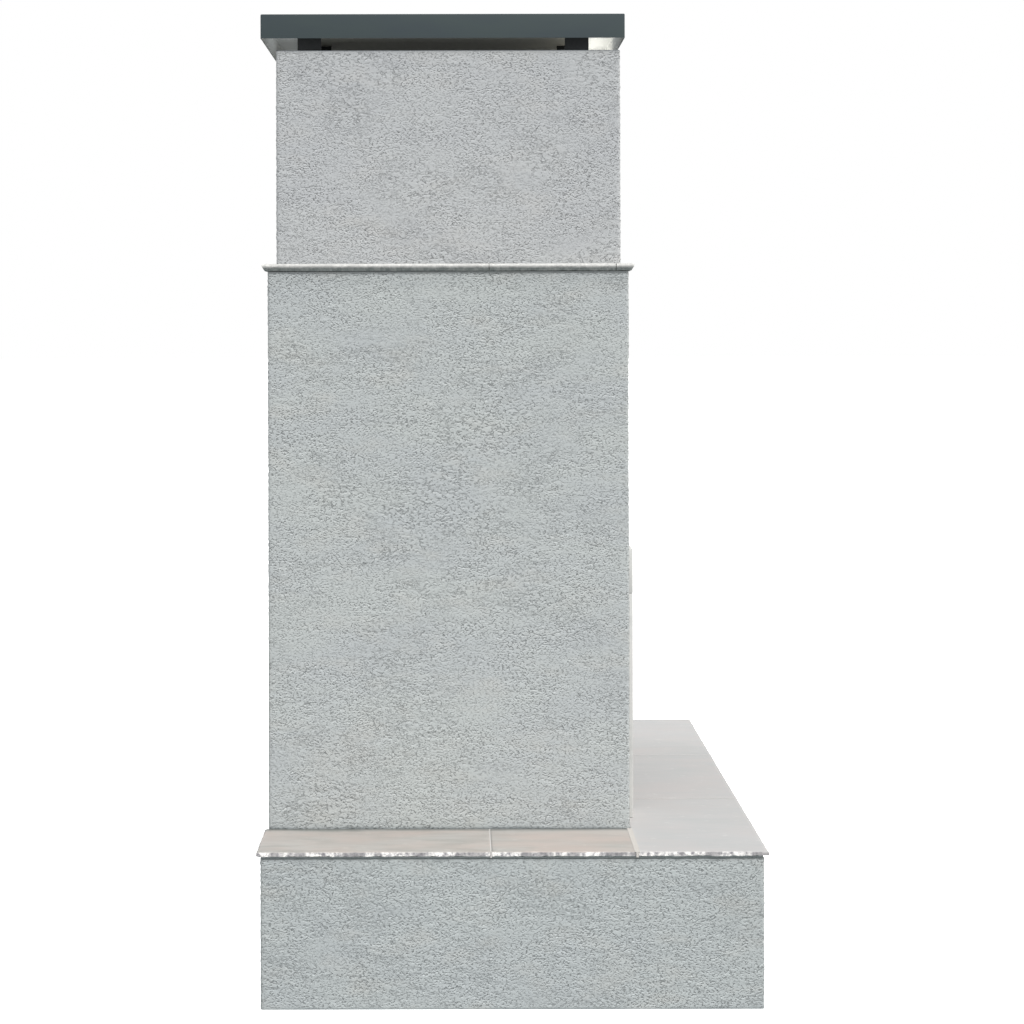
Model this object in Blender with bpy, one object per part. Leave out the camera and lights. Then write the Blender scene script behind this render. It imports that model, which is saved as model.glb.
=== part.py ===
"""Outdoor gas fireplace: a stuccoed hearth base, body and chimney on steel stud frames.

The fireplace stands on the ground and faces -Y. X runs along its width, Z is up, and the
origin lies under the middle of its box. All sizes are in metres.
"""

import math
import random

import bmesh
import bpy
from mathutils import Matrix, Vector

for old in list(bpy.data.objects):
    bpy.data.objects.remove(old, do_unlink=True)

# Shared sizes
GAP = 0.0003                # clearance between pieces that touch
OVERRUN = 0.004             # how far a cut runs past its piece
BOARD = 0.0127              # cement board
WALL = 0.020                # cement board with its coat of stucco
CORNER_RADIUS = 0.006       # stucco over a corner bead
STEEL = 0.0015              # folded sheet
JOINT = 0.003               # grout between tiles

# Hearth base
BASE_WIDTH = 1.504
BASE_DEPTH = 1.054
BASE_HEIGHT = 0.314

# Hearth tiles
TILE = 0.012
TILE_BED = 0.004
TILE_OVERHANG = 0.010
TILE_NOSE = 0.005
TILE_UNDERCUT = 0.0035
GROUT_DROP = 0.001
LEDGE_TILE_LENGTH = 0.302

# Body that holds the firebox
BODY_WIDTH = 1.100
BODY_DEPTH = 0.789
BODY_TOP = 1.547
OPENING_WIDTH = 0.700
OPENING_HEIGHT = 0.500

# Mantel tiles
MANTEL_TILE = 0.0165
MANTEL_OVERHANG = 0.012
MANTEL_STRIP = 0.040
MANTEL_SHARES = (-1 / 2, -1 / 6, 1 / 6, 1 / 2)

# Tiled surround of the opening
SURROUND_WIDTH = 0.100
SURROUND_TILE = 0.012
SURROUND_BED = 0.0035
SURROUND_EASE = 0.002

# Chimney
CHIMNEY_WIDTH = 0.640
CHIMNEY_TOP = 2.058

# Stud frames
STUD = 0.041
FLANGE = 0.032
FRAME_STEEL = 0.002

# Firebox
BRICK = 0.025
BRICK_LENGTH = 0.200
BRICK_COURSE = 0.0625
BRICK_JOINT = 0.008
BRICK_GROOVE = 0.004
BRICK_HEIGHT = 0.560
FIREBOX_DEPTH = 0.400
FIREBOX_BACK_WIDTH = 0.500
FIREBOX_HEADROOM = 0.040

# Smoke path
THROAT_WIDTH = 0.320
THROAT_DEPTH = 0.140
THROAT_SETBACK = 0.190
DOME_WIDTH = 0.480
DOME_DEPTH = 0.240
DOME_HEIGHT = 0.340
DOME_SKIRT = 0.090
DOME_SHOULDER = 0.012
DOME_SIDES = 32
FLUE_BORE = 0.254
FLUE_WALL = 0.013
FLUE_RISE = 0.012
COLLAR = 0.012
COLLAR_CLEARANCE = 0.002

# Damper
DAMPER_FRAME_BAR = 0.022
DAMPER_FRAME_THICKNESS = 0.006
DAMPER_PLATE = 0.006
DAMPER_LAP = 0.008
DAMPER_RIB = 0.008
TRUNNION_RADIUS = 0.005
TRUNNION_CLEARANCE = 0.001
LUG = 0.010
DAMPER_ROD_RADIUS = 0.004
DAMPER_ROD_LENGTH = 0.120
DAMPER_ROD_REACH = 0.055
DAMPER_RING_RADIUS = 0.014
DAMPER_RING_WIRE_SHARE = 0.9

# Chimney cap
CAP_WIDTH = 0.684
CAP_DEPTH = 0.831
CAP_SKIRT = 0.055
CAP_CLEARANCE = 0.027
CAP_SHIFT = 0.0122
LEG_PITCH = 0.400
LEG_WIDTH = 0.056
LEG_INSET = 0.074
LEG_FOOT = 0.040
LEG_STEEL = 0.003

# Burner and grate
PAN_LENGTH = 0.400
PAN_DEPTH = 0.110
PAN_HEIGHT = 0.024
BURNER_RADIUS = 0.0095
BURNER_BORE = 0.0070
BURNER_PORT = 0.0022
BURNER_PORT_PITCH = 0.020
BURNER_END = 0.012
BURNER_BEND = 0.030
GRATE_BAR = 0.012
GRATE_WIDTH = 0.460
GRATE_DEPTH = 0.250
GRATE_HEIGHT = 0.062
GRATE_LIP = 0.045
GRATE_SETBACK = 0.090
GRATE_LEG_INSET = 0.030
GRATE_BARS = 7
GRATE_TIP_SHARE = 0.75
GRATE_CHIN_SHARE = 1.5
GRATE_FOOT_SHARE = 0.8

# Logs
LOG_REAR_RADIUS = 0.050
LOG_REAR_LENGTH = 0.480
LOG_FRONT_RADIUS = 0.036
LOG_FRONT_LENGTH = 0.420
LOG_TOP_RADIUS = 0.027
LOG_TOP_LENGTH = 0.250
LOG_TOP_SPREAD = 0.150
LOG_NOTCH = 0.006
LOG_ROUGHNESS_SHARE = 0.06
LOG_TAPER_SHARE = 0.12
LOG_SWELL_SHARE = 0.04
LOG_CROOK_SHARE = 0.08
LOG_SINK_SHARE = 0.85
LOG_STOP_SHARE = 1.2
LOG_LEAN_SHARES = (0.35, -0.3, 0.2)

# Gas control
CONTROL_X = 0.272
CONTROL_SETBACK = 0.045
CONTROL_HEIGHT = 0.024
CONTROL_SPREAD = 0.048
BRACKET_WIDTH = 0.100
BRACKET_HEIGHT = 0.052
BRACKET_FOOT = 0.045
VALVE_SIZE = 0.030
VALVE_LENGTH = 0.036
VALVE_CHAMFER = 0.002
SPINDLE_RADIUS = 0.0030
SPINDLE_STROKE = 0.004
SPINDLE_CLEARANCE = 0.0005
SPINDLE_IN = 0.014
SPINDLE_OUT = 0.016
KNOB_RADIUS = 0.017
KNOB_HUB_RADIUS = 0.0125
KNOB_DEPTH = 0.018
KNOB_SKIRT = 0.004
KNOB_GRIP = 0.006
KNOB_FACE_SHARE = 0.92
KNOB_EDGE_SHARE = 0.95
KNOB_TAPER_SHARE = 0.7
BUTTON_RADIUS = 0.0065
BUTTON_STROKE = 0.005
BUTTON_IN = 0.012
BUTTON_OUT = 0.010
BUTTON_DOME_SHARE = 0.2
IGNITER_RADIUS = 0.010
IGNITER_LENGTH = 0.032
IGNITER_BARREL_SHARE = 0.7
GAS_PIPE_RADIUS = 0.0085
GAS_PIPE_BORE = 0.0060
GAS_PIPE_DROP = 0.200
GAS_HOLE_CLEARANCE = 0.002

# Derived places, front to back
REAR = (BASE_DEPTH + TILE_OVERHANG - CAP_DEPTH / 2 + BODY_DEPTH / 2 - CAP_SHIFT) / 2
BASE_FRONT = REAR - BASE_DEPTH
BODY_FRONT = REAR - BODY_DEPTH
BODY_MIDDLE = REAR - BODY_DEPTH / 2
FIREBOX_FRONT = BODY_FRONT + WALL + GAP
FLUE_Y = BODY_MIDDLE

# Derived heights
TILE_BOTTOM = BASE_HEIGHT + TILE_BED + 2 * GAP
HEARTH_TOP = TILE_BOTTOM + TILE
BODY_BOTTOM = BASE_HEIGHT + GAP
OPENING_TOP = HEARTH_TOP + OPENING_HEIGHT
MANTEL_BOTTOM = BODY_TOP + GAP
MANTEL_TOP = MANTEL_BOTTOM + MANTEL_TILE
CHIMNEY_BOTTOM = MANTEL_TOP + GAP
CHASE_TOP = CHIMNEY_TOP + GAP + STEEL
CAP_BOTTOM = CHIMNEY_TOP + CAP_CLEARANCE
CAP_TOP = CAP_BOTTOM + CAP_SKIRT
CAP_MIDDLE = BODY_MIDDLE + CAP_SHIFT
FIREBOX_BOTTOM = BASE_HEIGHT + GAP
BRICK_FLOOR_BOTTOM = FIREBOX_BOTTOM + STEEL + GAP
FIREBOX_FLOOR = BRICK_FLOOR_BOTTOM + BRICK
BRICK_TOP = FIREBOX_FLOOR + BRICK_HEIGHT
FIREBOX_TOP = BRICK_TOP + FIREBOX_HEADROOM
THROAT_Y = FIREBOX_FRONT + THROAT_SETBACK + THROAT_DEPTH / 2
DAMPER_FRAME_BOTTOM = FIREBOX_TOP + GAP
DAMPER_FRAME_TOP = DAMPER_FRAME_BOTTOM + DAMPER_FRAME_THICKNESS
DAMPER_BOTTOM = DAMPER_FRAME_TOP + GAP
HINGE_Z = DAMPER_BOTTOM + TRUNNION_RADIUS
HINGE_Y = THROAT_Y + THROAT_DEPTH / 2 + DAMPER_LAP + TRUNNION_RADIUS
FLUE_BOTTOM = FIREBOX_TOP + GAP + DOME_HEIGHT + COLLAR
FLUE_TOP = CHASE_TOP + FLUE_RISE
GRATE_TOP = FIREBOX_FLOOR + GRATE_HEIGHT
GRATE_FRONT = FIREBOX_FRONT + GRATE_SETBACK
GRATE_MIDDLE = GRATE_FRONT + GRATE_DEPTH / 2
CONTROL_Z = FIREBOX_FLOOR + GAP + CONTROL_HEIGHT
CONTROL_PLATE = FIREBOX_FRONT + CONTROL_SETBACK
VALVE_X = CONTROL_X - CONTROL_SPREAD / 2
VALVE_FRONT = CONTROL_PLATE + STEEL + GAP
VALVE_REAR = VALVE_FRONT + VALVE_LENGTH
VALVE_MIDDLE = (VALVE_FRONT + VALVE_REAR) / 2
BUTTON_X = CONTROL_X + CONTROL_SPREAD / 2


# Materials
def linear(value):
    """One sRGB channel, 0 to 255, as linear light."""
    share = value / 255
    return share / 12.92 if share <= 0.04045 else ((share + 0.055) / 1.055) ** 2.4


def material(name, red, green, blue, roughness, metallic=0):
    """A Principled material of one colour."""
    made = bpy.data.materials.new(name)
    made.use_nodes = True
    shader = made.node_tree.nodes["Principled BSDF"]
    shader.inputs["Base Color"].default_value = (linear(red), linear(green), linear(blue), 1)
    shader.inputs["Roughness"].default_value = roughness
    shader.inputs["Metallic"].default_value = metallic
    return made


STUCCO = material("Stucco", 182, 188, 187, 0.9)
CHIMNEY_STUCCO = material("Chimney stucco", 185, 186, 186, 0.9)
STONE_TILE = material("Stone tile", 206, 202, 196, 0.45)
MANTEL_STONE = material("Mantel tile", 214, 213, 209, 0.5)
GROUT = material("Grout", 196, 192, 184, 0.9)
CEMENT_BOARD = material("Cement board", 150, 148, 142, 0.9)
ZINC = material("Galvanised steel", 150, 154, 156, 0.45, 1)
FIREBOX_STEEL = material("Black firebox steel", 30, 30, 30, 0.7)
FIREBRICK = material("Firebrick", 176, 148, 112, 0.9)
CAP_PAINT = material("Slate painted steel", 77, 88, 90, 0.45)
LEG_PAINT = material("Black painted steel", 20, 20, 20, 0.6)
CAST_IRON = material("Cast iron", 38, 36, 35, 0.6)
STAINLESS = material("Stainless steel", 170, 168, 164, 0.3, 1)
BARK = material("Ceramic log", 108, 82, 60, 0.95)
BRASS = material("Brass", 190, 150, 80, 0.3, 1)
KNOB_PLASTIC = material("Black knob", 24, 24, 25, 0.45)
BUTTON_PLASTIC = material("Red button", 160, 28, 24, 0.4)


# Shapes
def finish(name, bm, finish_material, smooth_angle=None):
    """Makes a mesh the named object, with its faces pointing out."""
    bmesh.ops.recalc_face_normals(bm, faces=bm.faces)
    mesh = bpy.data.meshes.new(name)
    bm.to_mesh(mesh)
    bm.free()
    if smooth_angle is not None:
        mesh.shade_smooth()
        mesh.set_sharp_from_angle(angle=math.radians(smooth_angle))
    mesh.materials.append(finish_material)
    made = bpy.data.objects.new(name, mesh)
    bpy.context.scene.collection.objects.link(made)
    return made


def cutter(name, bm):
    """A hidden solid that cuts or joins others."""
    made = finish(name, bm, CEMENT_BOARD)
    made.hide_render = True
    made.display_type = "WIRE"
    return made


def combine(target, tool, operation="DIFFERENCE", use_self=False):
    """A Boolean kept on the object."""
    step = target.modifiers.new(tool.name, "BOOLEAN")
    step.operation = operation
    step.solver = "EXACT"
    step.object = tool
    step.use_self = use_self
    return target


def add_box(bm, low, high):
    """A box between two corners; returns its vertices."""
    size = [b - a for a, b in zip(low, high)]
    middle = [(a + b) / 2 for a, b in zip(low, high)]
    matrix = Matrix.Translation(middle) @ Matrix.Diagonal((*size, 1))
    return bmesh.ops.create_cube(bm, size=1, matrix=matrix)["verts"]


def add_prism(bm, outline, axis, start, end):
    """Pushes an outline in the two other axes along an axis, from start to end."""
    def place(a, b, along):
        return {"X": (along, a, b), "Y": (a, along, b), "Z": (a, b, along)}[axis]

    face = bm.faces.new([bm.verts.new(place(a, b, start)) for a, b in outline])
    pushed = bmesh.ops.extrude_face_region(bm, geom=[face])
    verts = [v for v in pushed["geom"] if isinstance(v, bmesh.types.BMVert)]
    bmesh.ops.translate(bm, verts=verts, vec=Vector(place(0, 0, end - start)))
    return verts


def add_loft(bm, rings, closed=False):
    """Skins a list of rings of equal count; closed joins the last ring to the first."""
    loops = [[bm.verts.new(point) for point in ring] for ring in rings]
    pairs = list(zip(loops, loops[1:]))
    if closed:
        pairs.append((loops[-1], loops[0]))
    for one, two in pairs:
        count = len(one)
        for i in range(count):
            j = (i + 1) % count
            bm.faces.new((one[i], one[j], two[j], two[i]))
    if not closed:
        bm.faces.new(loops[0][::-1])
        bm.faces.new(loops[-1])
    return loops


def circle(centre, radius, count, axis="Z", turn=0):
    """Points of a circle round an axis."""
    cx, cy, cz = centre
    points = []
    for i in range(count):
        angle = 2 * math.pi * i / count + turn
        a, b = radius * math.cos(angle), radius * math.sin(angle)
        offset = {"X": (0, a, b), "Y": (a, 0, b), "Z": (a, b, 0)}[axis]
        points.append((cx + offset[0], cy + offset[1], cz + offset[2]))
    return points


def add_turned(bm, centre, axis, profile, count):
    """A body turned round an axis from (distance along it, radius) pairs."""
    along = {"X": Vector((1, 0, 0)), "Y": Vector((0, 1, 0)), "Z": Vector((0, 0, 1))}[axis]
    rings = [circle(Vector(centre) + along * place, radius, count, axis) for place, radius in profile]
    return add_loft(bm, rings)


def add_tube(bm, start, end, axis, outer, bore, count):
    """A straight tube with open ends."""
    rings = [circle(start, outer, count, axis), circle(end, outer, count, axis),
             circle(end, bore, count, axis), circle(start, bore, count, axis)]
    add_loft(bm, rings, closed=True)


def add_sleeve(bm, low, high, wall, bottom, top):
    """A rectangular tube with upright walls, its outer corners rounded."""
    def loop(inset, z):
        return [(low[0] + inset, low[1] + inset, z), (high[0] - inset, low[1] + inset, z),
                (high[0] - inset, high[1] - inset, z), (low[0] + inset, high[1] - inset, z)]

    rings = [loop(0, bottom), loop(0, top), loop(wall, top), loop(wall, bottom)]
    loops = add_loft(bm, rings, closed=True)
    corners = [edge for a, b in zip(loops[0], loops[1]) for edge in a.link_edges if edge.other_vert(a) is b]
    bmesh.ops.bevel(bm, geom=corners, offset=CORNER_RADIUS, segments=3, profile=0.5, affect="EDGES")


def bevel_where(bm, test, offset, segments=1):
    """Bevels the edges whose two ends pass a test."""
    edges = [edge for edge in bm.edges if all(test(v.co) for v in edge.verts)]
    bmesh.ops.bevel(bm, geom=edges, offset=offset, segments=segments, profile=0.5, affect="EDGES")


# Stud frames
def channel(width, flange, steel, opens=1):
    """Outline of a U channel, its web on the first axis at zero and its flanges towards opens."""
    half = width / 2
    lip, skin, inner = opens * flange, opens * steel, half - steel
    return [(0, -half), (lip, -half), (lip, -inner), (skin, -inner),
            (skin, inner), (lip, inner), (lip, half), (0, half)]


def add_stud(bm, x, y, bottom, top, along, opens):
    """An upright channel stud; its web lies across the wall, whose run is along X or Y."""
    outline = channel(STUD, FLANGE, FRAME_STEEL, opens)
    if along == "X":
        outline = [(x + a, y + b) for a, b in outline]
    else:
        outline = [(x + b, y + a) for a, b in outline]
    add_prism(bm, outline, "Z", bottom, top)


def add_track(bm, start, end, fixed, z, along, opens):
    """A level channel track with its web at z and its flanges up or down, along X or Y."""
    outline = [(fixed + b, z + a) for a, b in channel(STUD + 2 * FRAME_STEEL, FLANGE, FRAME_STEEL, opens)]
    add_prism(bm, outline, along, start, end)


def stud_frame(name, low, high, bottom, top, studs_x, studs_y, joists=()):
    """Two rings of track with studs between them, welded into one frame."""
    half = STUD / 2 + FRAME_STEEL
    bm = bmesh.new()
    for z, opens in ((bottom, 1), (top, -1)):
        for y in (low[1] + half, high[1] - half):
            add_track(bm, low[0], high[0], y, z, "X", opens)
        for x in (low[0] + half, high[0] - half):
            add_track(bm, low[1], high[1], x, z, "Y", opens)
    for x in joists:
        add_track(bm, low[1] + FRAME_STEEL / 2, high[1] - FRAME_STEEL / 2, x, top - FRAME_STEEL / 2, "Y", -1)
    inner_low, inner_high = bottom + FRAME_STEEL / 2, top - FRAME_STEEL / 2
    for x, opens in studs_x:
        for y in (low[1] + half, high[1] - half):
            add_stud(bm, x, y, inner_low, inner_high, "X", opens)
    for y, opens in studs_y:
        for x in (low[0] + half, high[0] - half):
            add_stud(bm, x, y, inner_low, inner_high, "Y", opens)
    frame = finish(name, bm, ZINC)
    corner = bmesh.new()
    x, y = low[0] + half, low[1] + half
    reach = STUD / 4
    add_box(corner, (x - reach, y - reach, inner_low), (x + reach, y + reach, inner_high))
    return combine(frame, cutter(name + "_corner_post", corner), "UNION", use_self=True)


def make_base_frame():
    inset = WALL + GAP
    low = (-BASE_WIDTH / 2 + inset, BASE_FRONT + inset)
    high = (BASE_WIDTH / 2 - inset, REAR - inset)
    edge = BODY_WIDTH / 2 - WALL
    studs_x = [(low[0] + FRAME_STEEL, 1), (-edge, 1), (0, 1), (edge, -1), (high[0] - FRAME_STEEL, -1)]
    studs_y = [(BODY_FRONT, 1), ((BODY_FRONT + REAR) / 2, 1)]
    top = BASE_HEIGHT - BOARD - GAP
    return stud_frame("base_frame", low, high, 0, top, studs_x, studs_y, (-edge, 0, edge))


def make_body_frame():
    inset = WALL + GAP
    low = (-BODY_WIDTH / 2 + inset, BODY_FRONT + inset)
    high = (BODY_WIDTH / 2 - inset, REAR - inset)
    edge = CHIMNEY_WIDTH / 2 - WALL - STUD / 2
    top = BODY_TOP - BOARD - GAP
    studs_x = [(low[0] + FRAME_STEEL, 1), (high[0] - FRAME_STEEL, -1)]
    studs_y = [(FIREBOX_FRONT + FIREBOX_DEPTH + STUD + BRICK, 1)]
    frame = stud_frame("body_frame", low, high, BODY_BOTTOM, top, studs_x, studs_y, (-edge, edge))
    gap_cut = bmesh.new()
    half = OPENING_WIDTH / 2 + BRICK + STEEL + STUD / 4
    add_box(gap_cut, (-half, low[1] - OVERRUN, BODY_BOTTOM - OVERRUN),
            (half, low[1] + STUD + FLANGE, BODY_BOTTOM + FLANGE + OVERRUN))
    return combine(frame, cutter("body_frame_doorway", gap_cut))


def make_chimney_frame():
    inset = WALL + GAP
    low = (-CHIMNEY_WIDTH / 2 + inset, BODY_FRONT + inset)
    high = (CHIMNEY_WIDTH / 2 - inset, REAR - inset)
    studs_x = [(low[0] + FRAME_STEEL, 1), (high[0] - FRAME_STEEL, -1)]
    return stud_frame("chimney_frame", low, high, CHIMNEY_BOTTOM, CHIMNEY_TOP, studs_x, [(BODY_MIDDLE, 1)])


# Stuccoed walls
def make_base_shell():
    bm = bmesh.new()
    add_sleeve(bm, (-BASE_WIDTH / 2, BASE_FRONT), (BASE_WIDTH / 2, REAR), WALL, 0, BASE_HEIGHT)
    return finish("base_shell", bm, STUCCO, 40)


def make_body_shell():
    bm = bmesh.new()
    add_sleeve(bm, (-BODY_WIDTH / 2, BODY_FRONT), (BODY_WIDTH / 2, REAR), WALL, BODY_BOTTOM, BODY_TOP)
    shell = finish("body_shell", bm, STUCCO, 40)
    hole = bmesh.new()
    add_box(hole, (-OPENING_WIDTH / 2, BODY_FRONT - OVERRUN, BODY_BOTTOM - OVERRUN),
            (OPENING_WIDTH / 2, BODY_FRONT + WALL + OVERRUN, OPENING_TOP))
    return combine(shell, cutter("body_shell_opening", hole))


def make_chimney_shell():
    bm = bmesh.new()
    low, high = (-CHIMNEY_WIDTH / 2, BODY_FRONT), (CHIMNEY_WIDTH / 2, REAR)
    add_sleeve(bm, low, high, WALL, CHIMNEY_BOTTOM, CHIMNEY_TOP)
    return finish("chimney_shell", bm, CHIMNEY_STUCCO, 40)


# Boards
def make_base_deck():
    inset = WALL + GAP
    bm = bmesh.new()
    add_box(bm, (-BASE_WIDTH / 2 + inset, BASE_FRONT + inset, BASE_HEIGHT - BOARD),
            (BASE_WIDTH / 2 - inset, REAR - inset, BASE_HEIGHT))
    return combine(finish("base_deck", bm, CEMENT_BOARD), GAS_HOLE)


def make_mantel_board():
    inset = WALL + GAP
    bm = bmesh.new()
    add_box(bm, (-BODY_WIDTH / 2 + inset, BODY_FRONT + inset, BODY_TOP - BOARD),
            (BODY_WIDTH / 2 - inset, REAR - inset, BODY_TOP))
    half = FLUE_BORE / 2 + FLUE_WALL + COLLAR_CLEARANCE
    hole = bmesh.new()
    add_box(hole, (-half, FLUE_Y - half, BODY_TOP - BOARD - OVERRUN),
            (half, FLUE_Y + half, BODY_TOP + OVERRUN))
    return combine(finish("mantel_board", bm, CEMENT_BOARD), cutter("mantel_board_flue_hole", hole))


# Tiles
def make_tile(name, low, high, bottom, thickness, sides, finish_material, nose=None):
    """A tile whose outer sides, named front, rear, left and right, have a rough-split nose."""
    nose = TILE_NOSE if nose is None else nose
    bm = bmesh.new()
    add_box(bm, (low[0], low[1], bottom), (high[0], high[1], bottom + thickness))
    planes = {"left": (0, low[0]), "right": (0, high[0]), "front": (1, low[1]), "rear": (1, high[1])}

    def outer_edges(z):
        found = []
        for edge in bm.edges:
            if all(abs(v.co.z - z) < GAP / 2 for v in edge.verts):
                for side in sides:
                    axis, place = planes[side]
                    if all(abs(v.co[axis] - place) < GAP / 2 for v in edge.verts):
                        found.append(edge)
                        break
        return found

    for z, offset, segments in ((bottom + thickness, nose, 3), (bottom, TILE_UNDERCUT, 1)):
        bmesh.ops.bevel(bm, geom=outer_edges(z), offset=offset, segments=segments, profile=0.5, affect="EDGES")
    return finish(name, bm, finish_material, 30)


def hearth_outline(inset):
    """The U that the hearth tiles cover, round the foot of the body."""
    left, right = -BASE_WIDTH / 2 + inset, BASE_WIDTH / 2 - inset
    front, rear = BASE_FRONT + inset, REAR - inset
    inner = BODY_WIDTH / 2 + GAP
    return [(left, front), (right, front), (right, rear), (inner, rear), (inner, BODY_FRONT - GAP),
            (-inner, BODY_FRONT - GAP), (-inner, rear), (left, rear)]


def make_hearth_bed():
    """The mortar bed, with the grout lines that stand up between the tiles."""
    bottom = BASE_HEIGHT + GAP
    grout_top = HEARTH_TOP - GROUT_DROP
    bm = bmesh.new()
    add_prism(bm, hearth_outline(TILE_BED), "Z", bottom, bottom + TILE_BED)
    bed = finish("hearth_bed", bm, GROUT)
    ribs = bmesh.new()
    half = JOINT / 2 - GAP
    thirds = BASE_WIDTH / 2 + TILE_OVERHANG
    for side in (-1, 1):
        x = side * thirds / 3
        add_box(ribs, (x - half, BASE_FRONT + TILE_BED, bottom + TILE_BED / 2),
                (x + half, BODY_FRONT - 2 * GAP, grout_top))
        inner, outer = BODY_WIDTH / 2 + 2 * GAP, BASE_WIDTH / 2 - TILE_BED
        x_low, x_high = sorted((side * inner, side * outer))
        for y in (BODY_FRONT + JOINT / 2, BODY_FRONT + LEDGE_TILE_LENGTH + 3 * JOINT / 2):
            add_box(ribs, (x_low, y - half, bottom + TILE_BED / 2), (x_high, y + half, grout_top))
    return combine(bed, cutter("hearth_grout_lines", ribs), "UNION")


def make_hearth_tiles():
    left, right = -BASE_WIDTH / 2 - TILE_OVERHANG, BASE_WIDTH / 2 + TILE_OVERHANG
    front, rear = BASE_FRONT - TILE_OVERHANG, REAR + TILE_OVERHANG
    third = (right - left) / 3
    for index, (label, sides) in enumerate((("left", ("left", "front")), ("middle", ("front",)),
                                            ("right", ("right", "front")))):
        x_low = left + index * third + (JOINT / 2 if index else 0)
        x_high = left + (index + 1) * third - (JOINT / 2 if index < 2 else 0)
        make_tile("hearth_tile_" + label, (x_low, front), (x_high, BODY_FRONT - GAP),
                  TILE_BOTTOM, TILE, sides, STONE_TILE)
    split = BODY_FRONT + JOINT + LEDGE_TILE_LENGTH
    for side, label in ((-1, "left"), (1, "right")):
        x_low, x_high = sorted((side * (BODY_WIDTH / 2 + GAP), side * right))
        make_tile("ledge_tile_%s_front" % label, (x_low, BODY_FRONT + JOINT), (x_high, split),
                  TILE_BOTTOM, TILE, (label,), STONE_TILE)
        make_tile("ledge_tile_%s_rear" % label, (x_low, split + JOINT), (x_high, rear),
                  TILE_BOTTOM, TILE, (label, "rear"), STONE_TILE)


def make_mantel_tiles():
    width = BODY_WIDTH + 2 * MANTEL_OVERHANG
    front, rear = BODY_FRONT - MANTEL_OVERHANG, REAR + MANTEL_OVERHANG
    behind_strip = front + MANTEL_STRIP + GAP
    beside_chimney = CHIMNEY_WIDTH / 2 + GAP
    spots = list(zip(MANTEL_SHARES, MANTEL_SHARES[1:], ("left", "middle", "right")))
    for start, end, label in spots:
        sides = {"left": ("left", "front"), "middle": ("front",), "right": ("right", "front")}[label]
        make_tile("mantel_strip_" + label, (start * width + (GAP if label != "left" else 0), front),
                  (end * width - (GAP if label != "right" else 0), front + MANTEL_STRIP),
                  MANTEL_BOTTOM, MANTEL_TILE, sides, MANTEL_STONE)
    split = BODY_FRONT + JOINT + LEDGE_TILE_LENGTH
    for side, label in ((-1, "left"), (1, "right")):
        x_low, x_high = sorted((side * beside_chimney, side * width / 2))
        make_tile("mantel_tile_%s_front" % label, (x_low, behind_strip), (x_high, split),
                  MANTEL_BOTTOM, MANTEL_TILE, (label,), MANTEL_STONE)
        make_tile("mantel_tile_%s_rear" % label, (x_low, split + GAP), (x_high, rear),
                  MANTEL_BOTTOM, MANTEL_TILE, (label, "rear"), MANTEL_STONE)
    make_tile("mantel_strip_rear", (-CHIMNEY_WIDTH / 2, REAR - WALL - STUD), (CHIMNEY_WIDTH / 2, rear),
              MANTEL_BOTTOM, MANTEL_TILE, ("rear",), MANTEL_STONE)


def make_chimney_sill():
    """A U of board as thick as the mantel tiles, which carries the chimney between them."""
    outer, inner = CHIMNEY_WIDTH / 2, CHIMNEY_WIDTH / 2 - WALL - STUD
    front = BODY_FRONT - MANTEL_OVERHANG + MANTEL_STRIP + GAP
    bar, rear = BODY_FRONT + WALL + STUD, REAR - WALL - STUD - GAP
    outline = [(-outer, front), (outer, front), (outer, rear), (inner, rear),
               (inner, bar), (-inner, bar), (-inner, rear), (-outer, rear)]
    bm = bmesh.new()
    add_prism(bm, outline, "Z", MANTEL_BOTTOM, MANTEL_BOTTOM + MANTEL_TILE)
    finish("chimney_sill", bm, CEMENT_BOARD)


def make_surround():
    """Four tiles that frame the opening, standing proud of the stucco on their adhesive."""
    back = BODY_FRONT - GAP
    face = back - SURROUND_TILE - SURROUND_BED
    inner = OPENING_WIDTH / 2
    outer = inner + SURROUND_WIDTH
    bottom = HEARTH_TOP + GAP
    header_bottom = OPENING_TOP + GAP
    pieces = (("surround_leg_left", -outer, -inner, bottom, OPENING_TOP),
              ("surround_leg_right", inner, outer, bottom, OPENING_TOP),
              ("surround_header_left", -outer, -GAP, header_bottom, OPENING_TOP + SURROUND_WIDTH),
              ("surround_header_right", GAP, outer, header_bottom, OPENING_TOP + SURROUND_WIDTH))
    for name, x_low, x_high, z_low, z_high in pieces:
        bm = bmesh.new()
        add_box(bm, (x_low, face, z_low), (x_high, back, z_high))
        bevel_where(bm, lambda co: abs(co.y - face) < GAP / 2, SURROUND_EASE, 2)
        finish(name, bm, STONE_TILE, 30)


# Firebox
def firebox_outline(grow, front):
    """Plan of the firebox as a tapered U, grown outwards from the faces of its bricks."""
    half_front = OPENING_WIDTH / 2
    half_back = FIREBOX_BACK_WIDTH / 2
    slope = math.atan2(half_front - half_back, FIREBOX_DEPTH)
    back = FIREBOX_FRONT + FIREBOX_DEPTH + grow

    def half_at(y):
        return half_front - (y - FIREBOX_FRONT) * math.tan(slope) + grow / math.cos(slope)

    return [(-half_at(front), front), (half_at(front), front), (half_at(back), back), (-half_at(back), back)]


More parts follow.
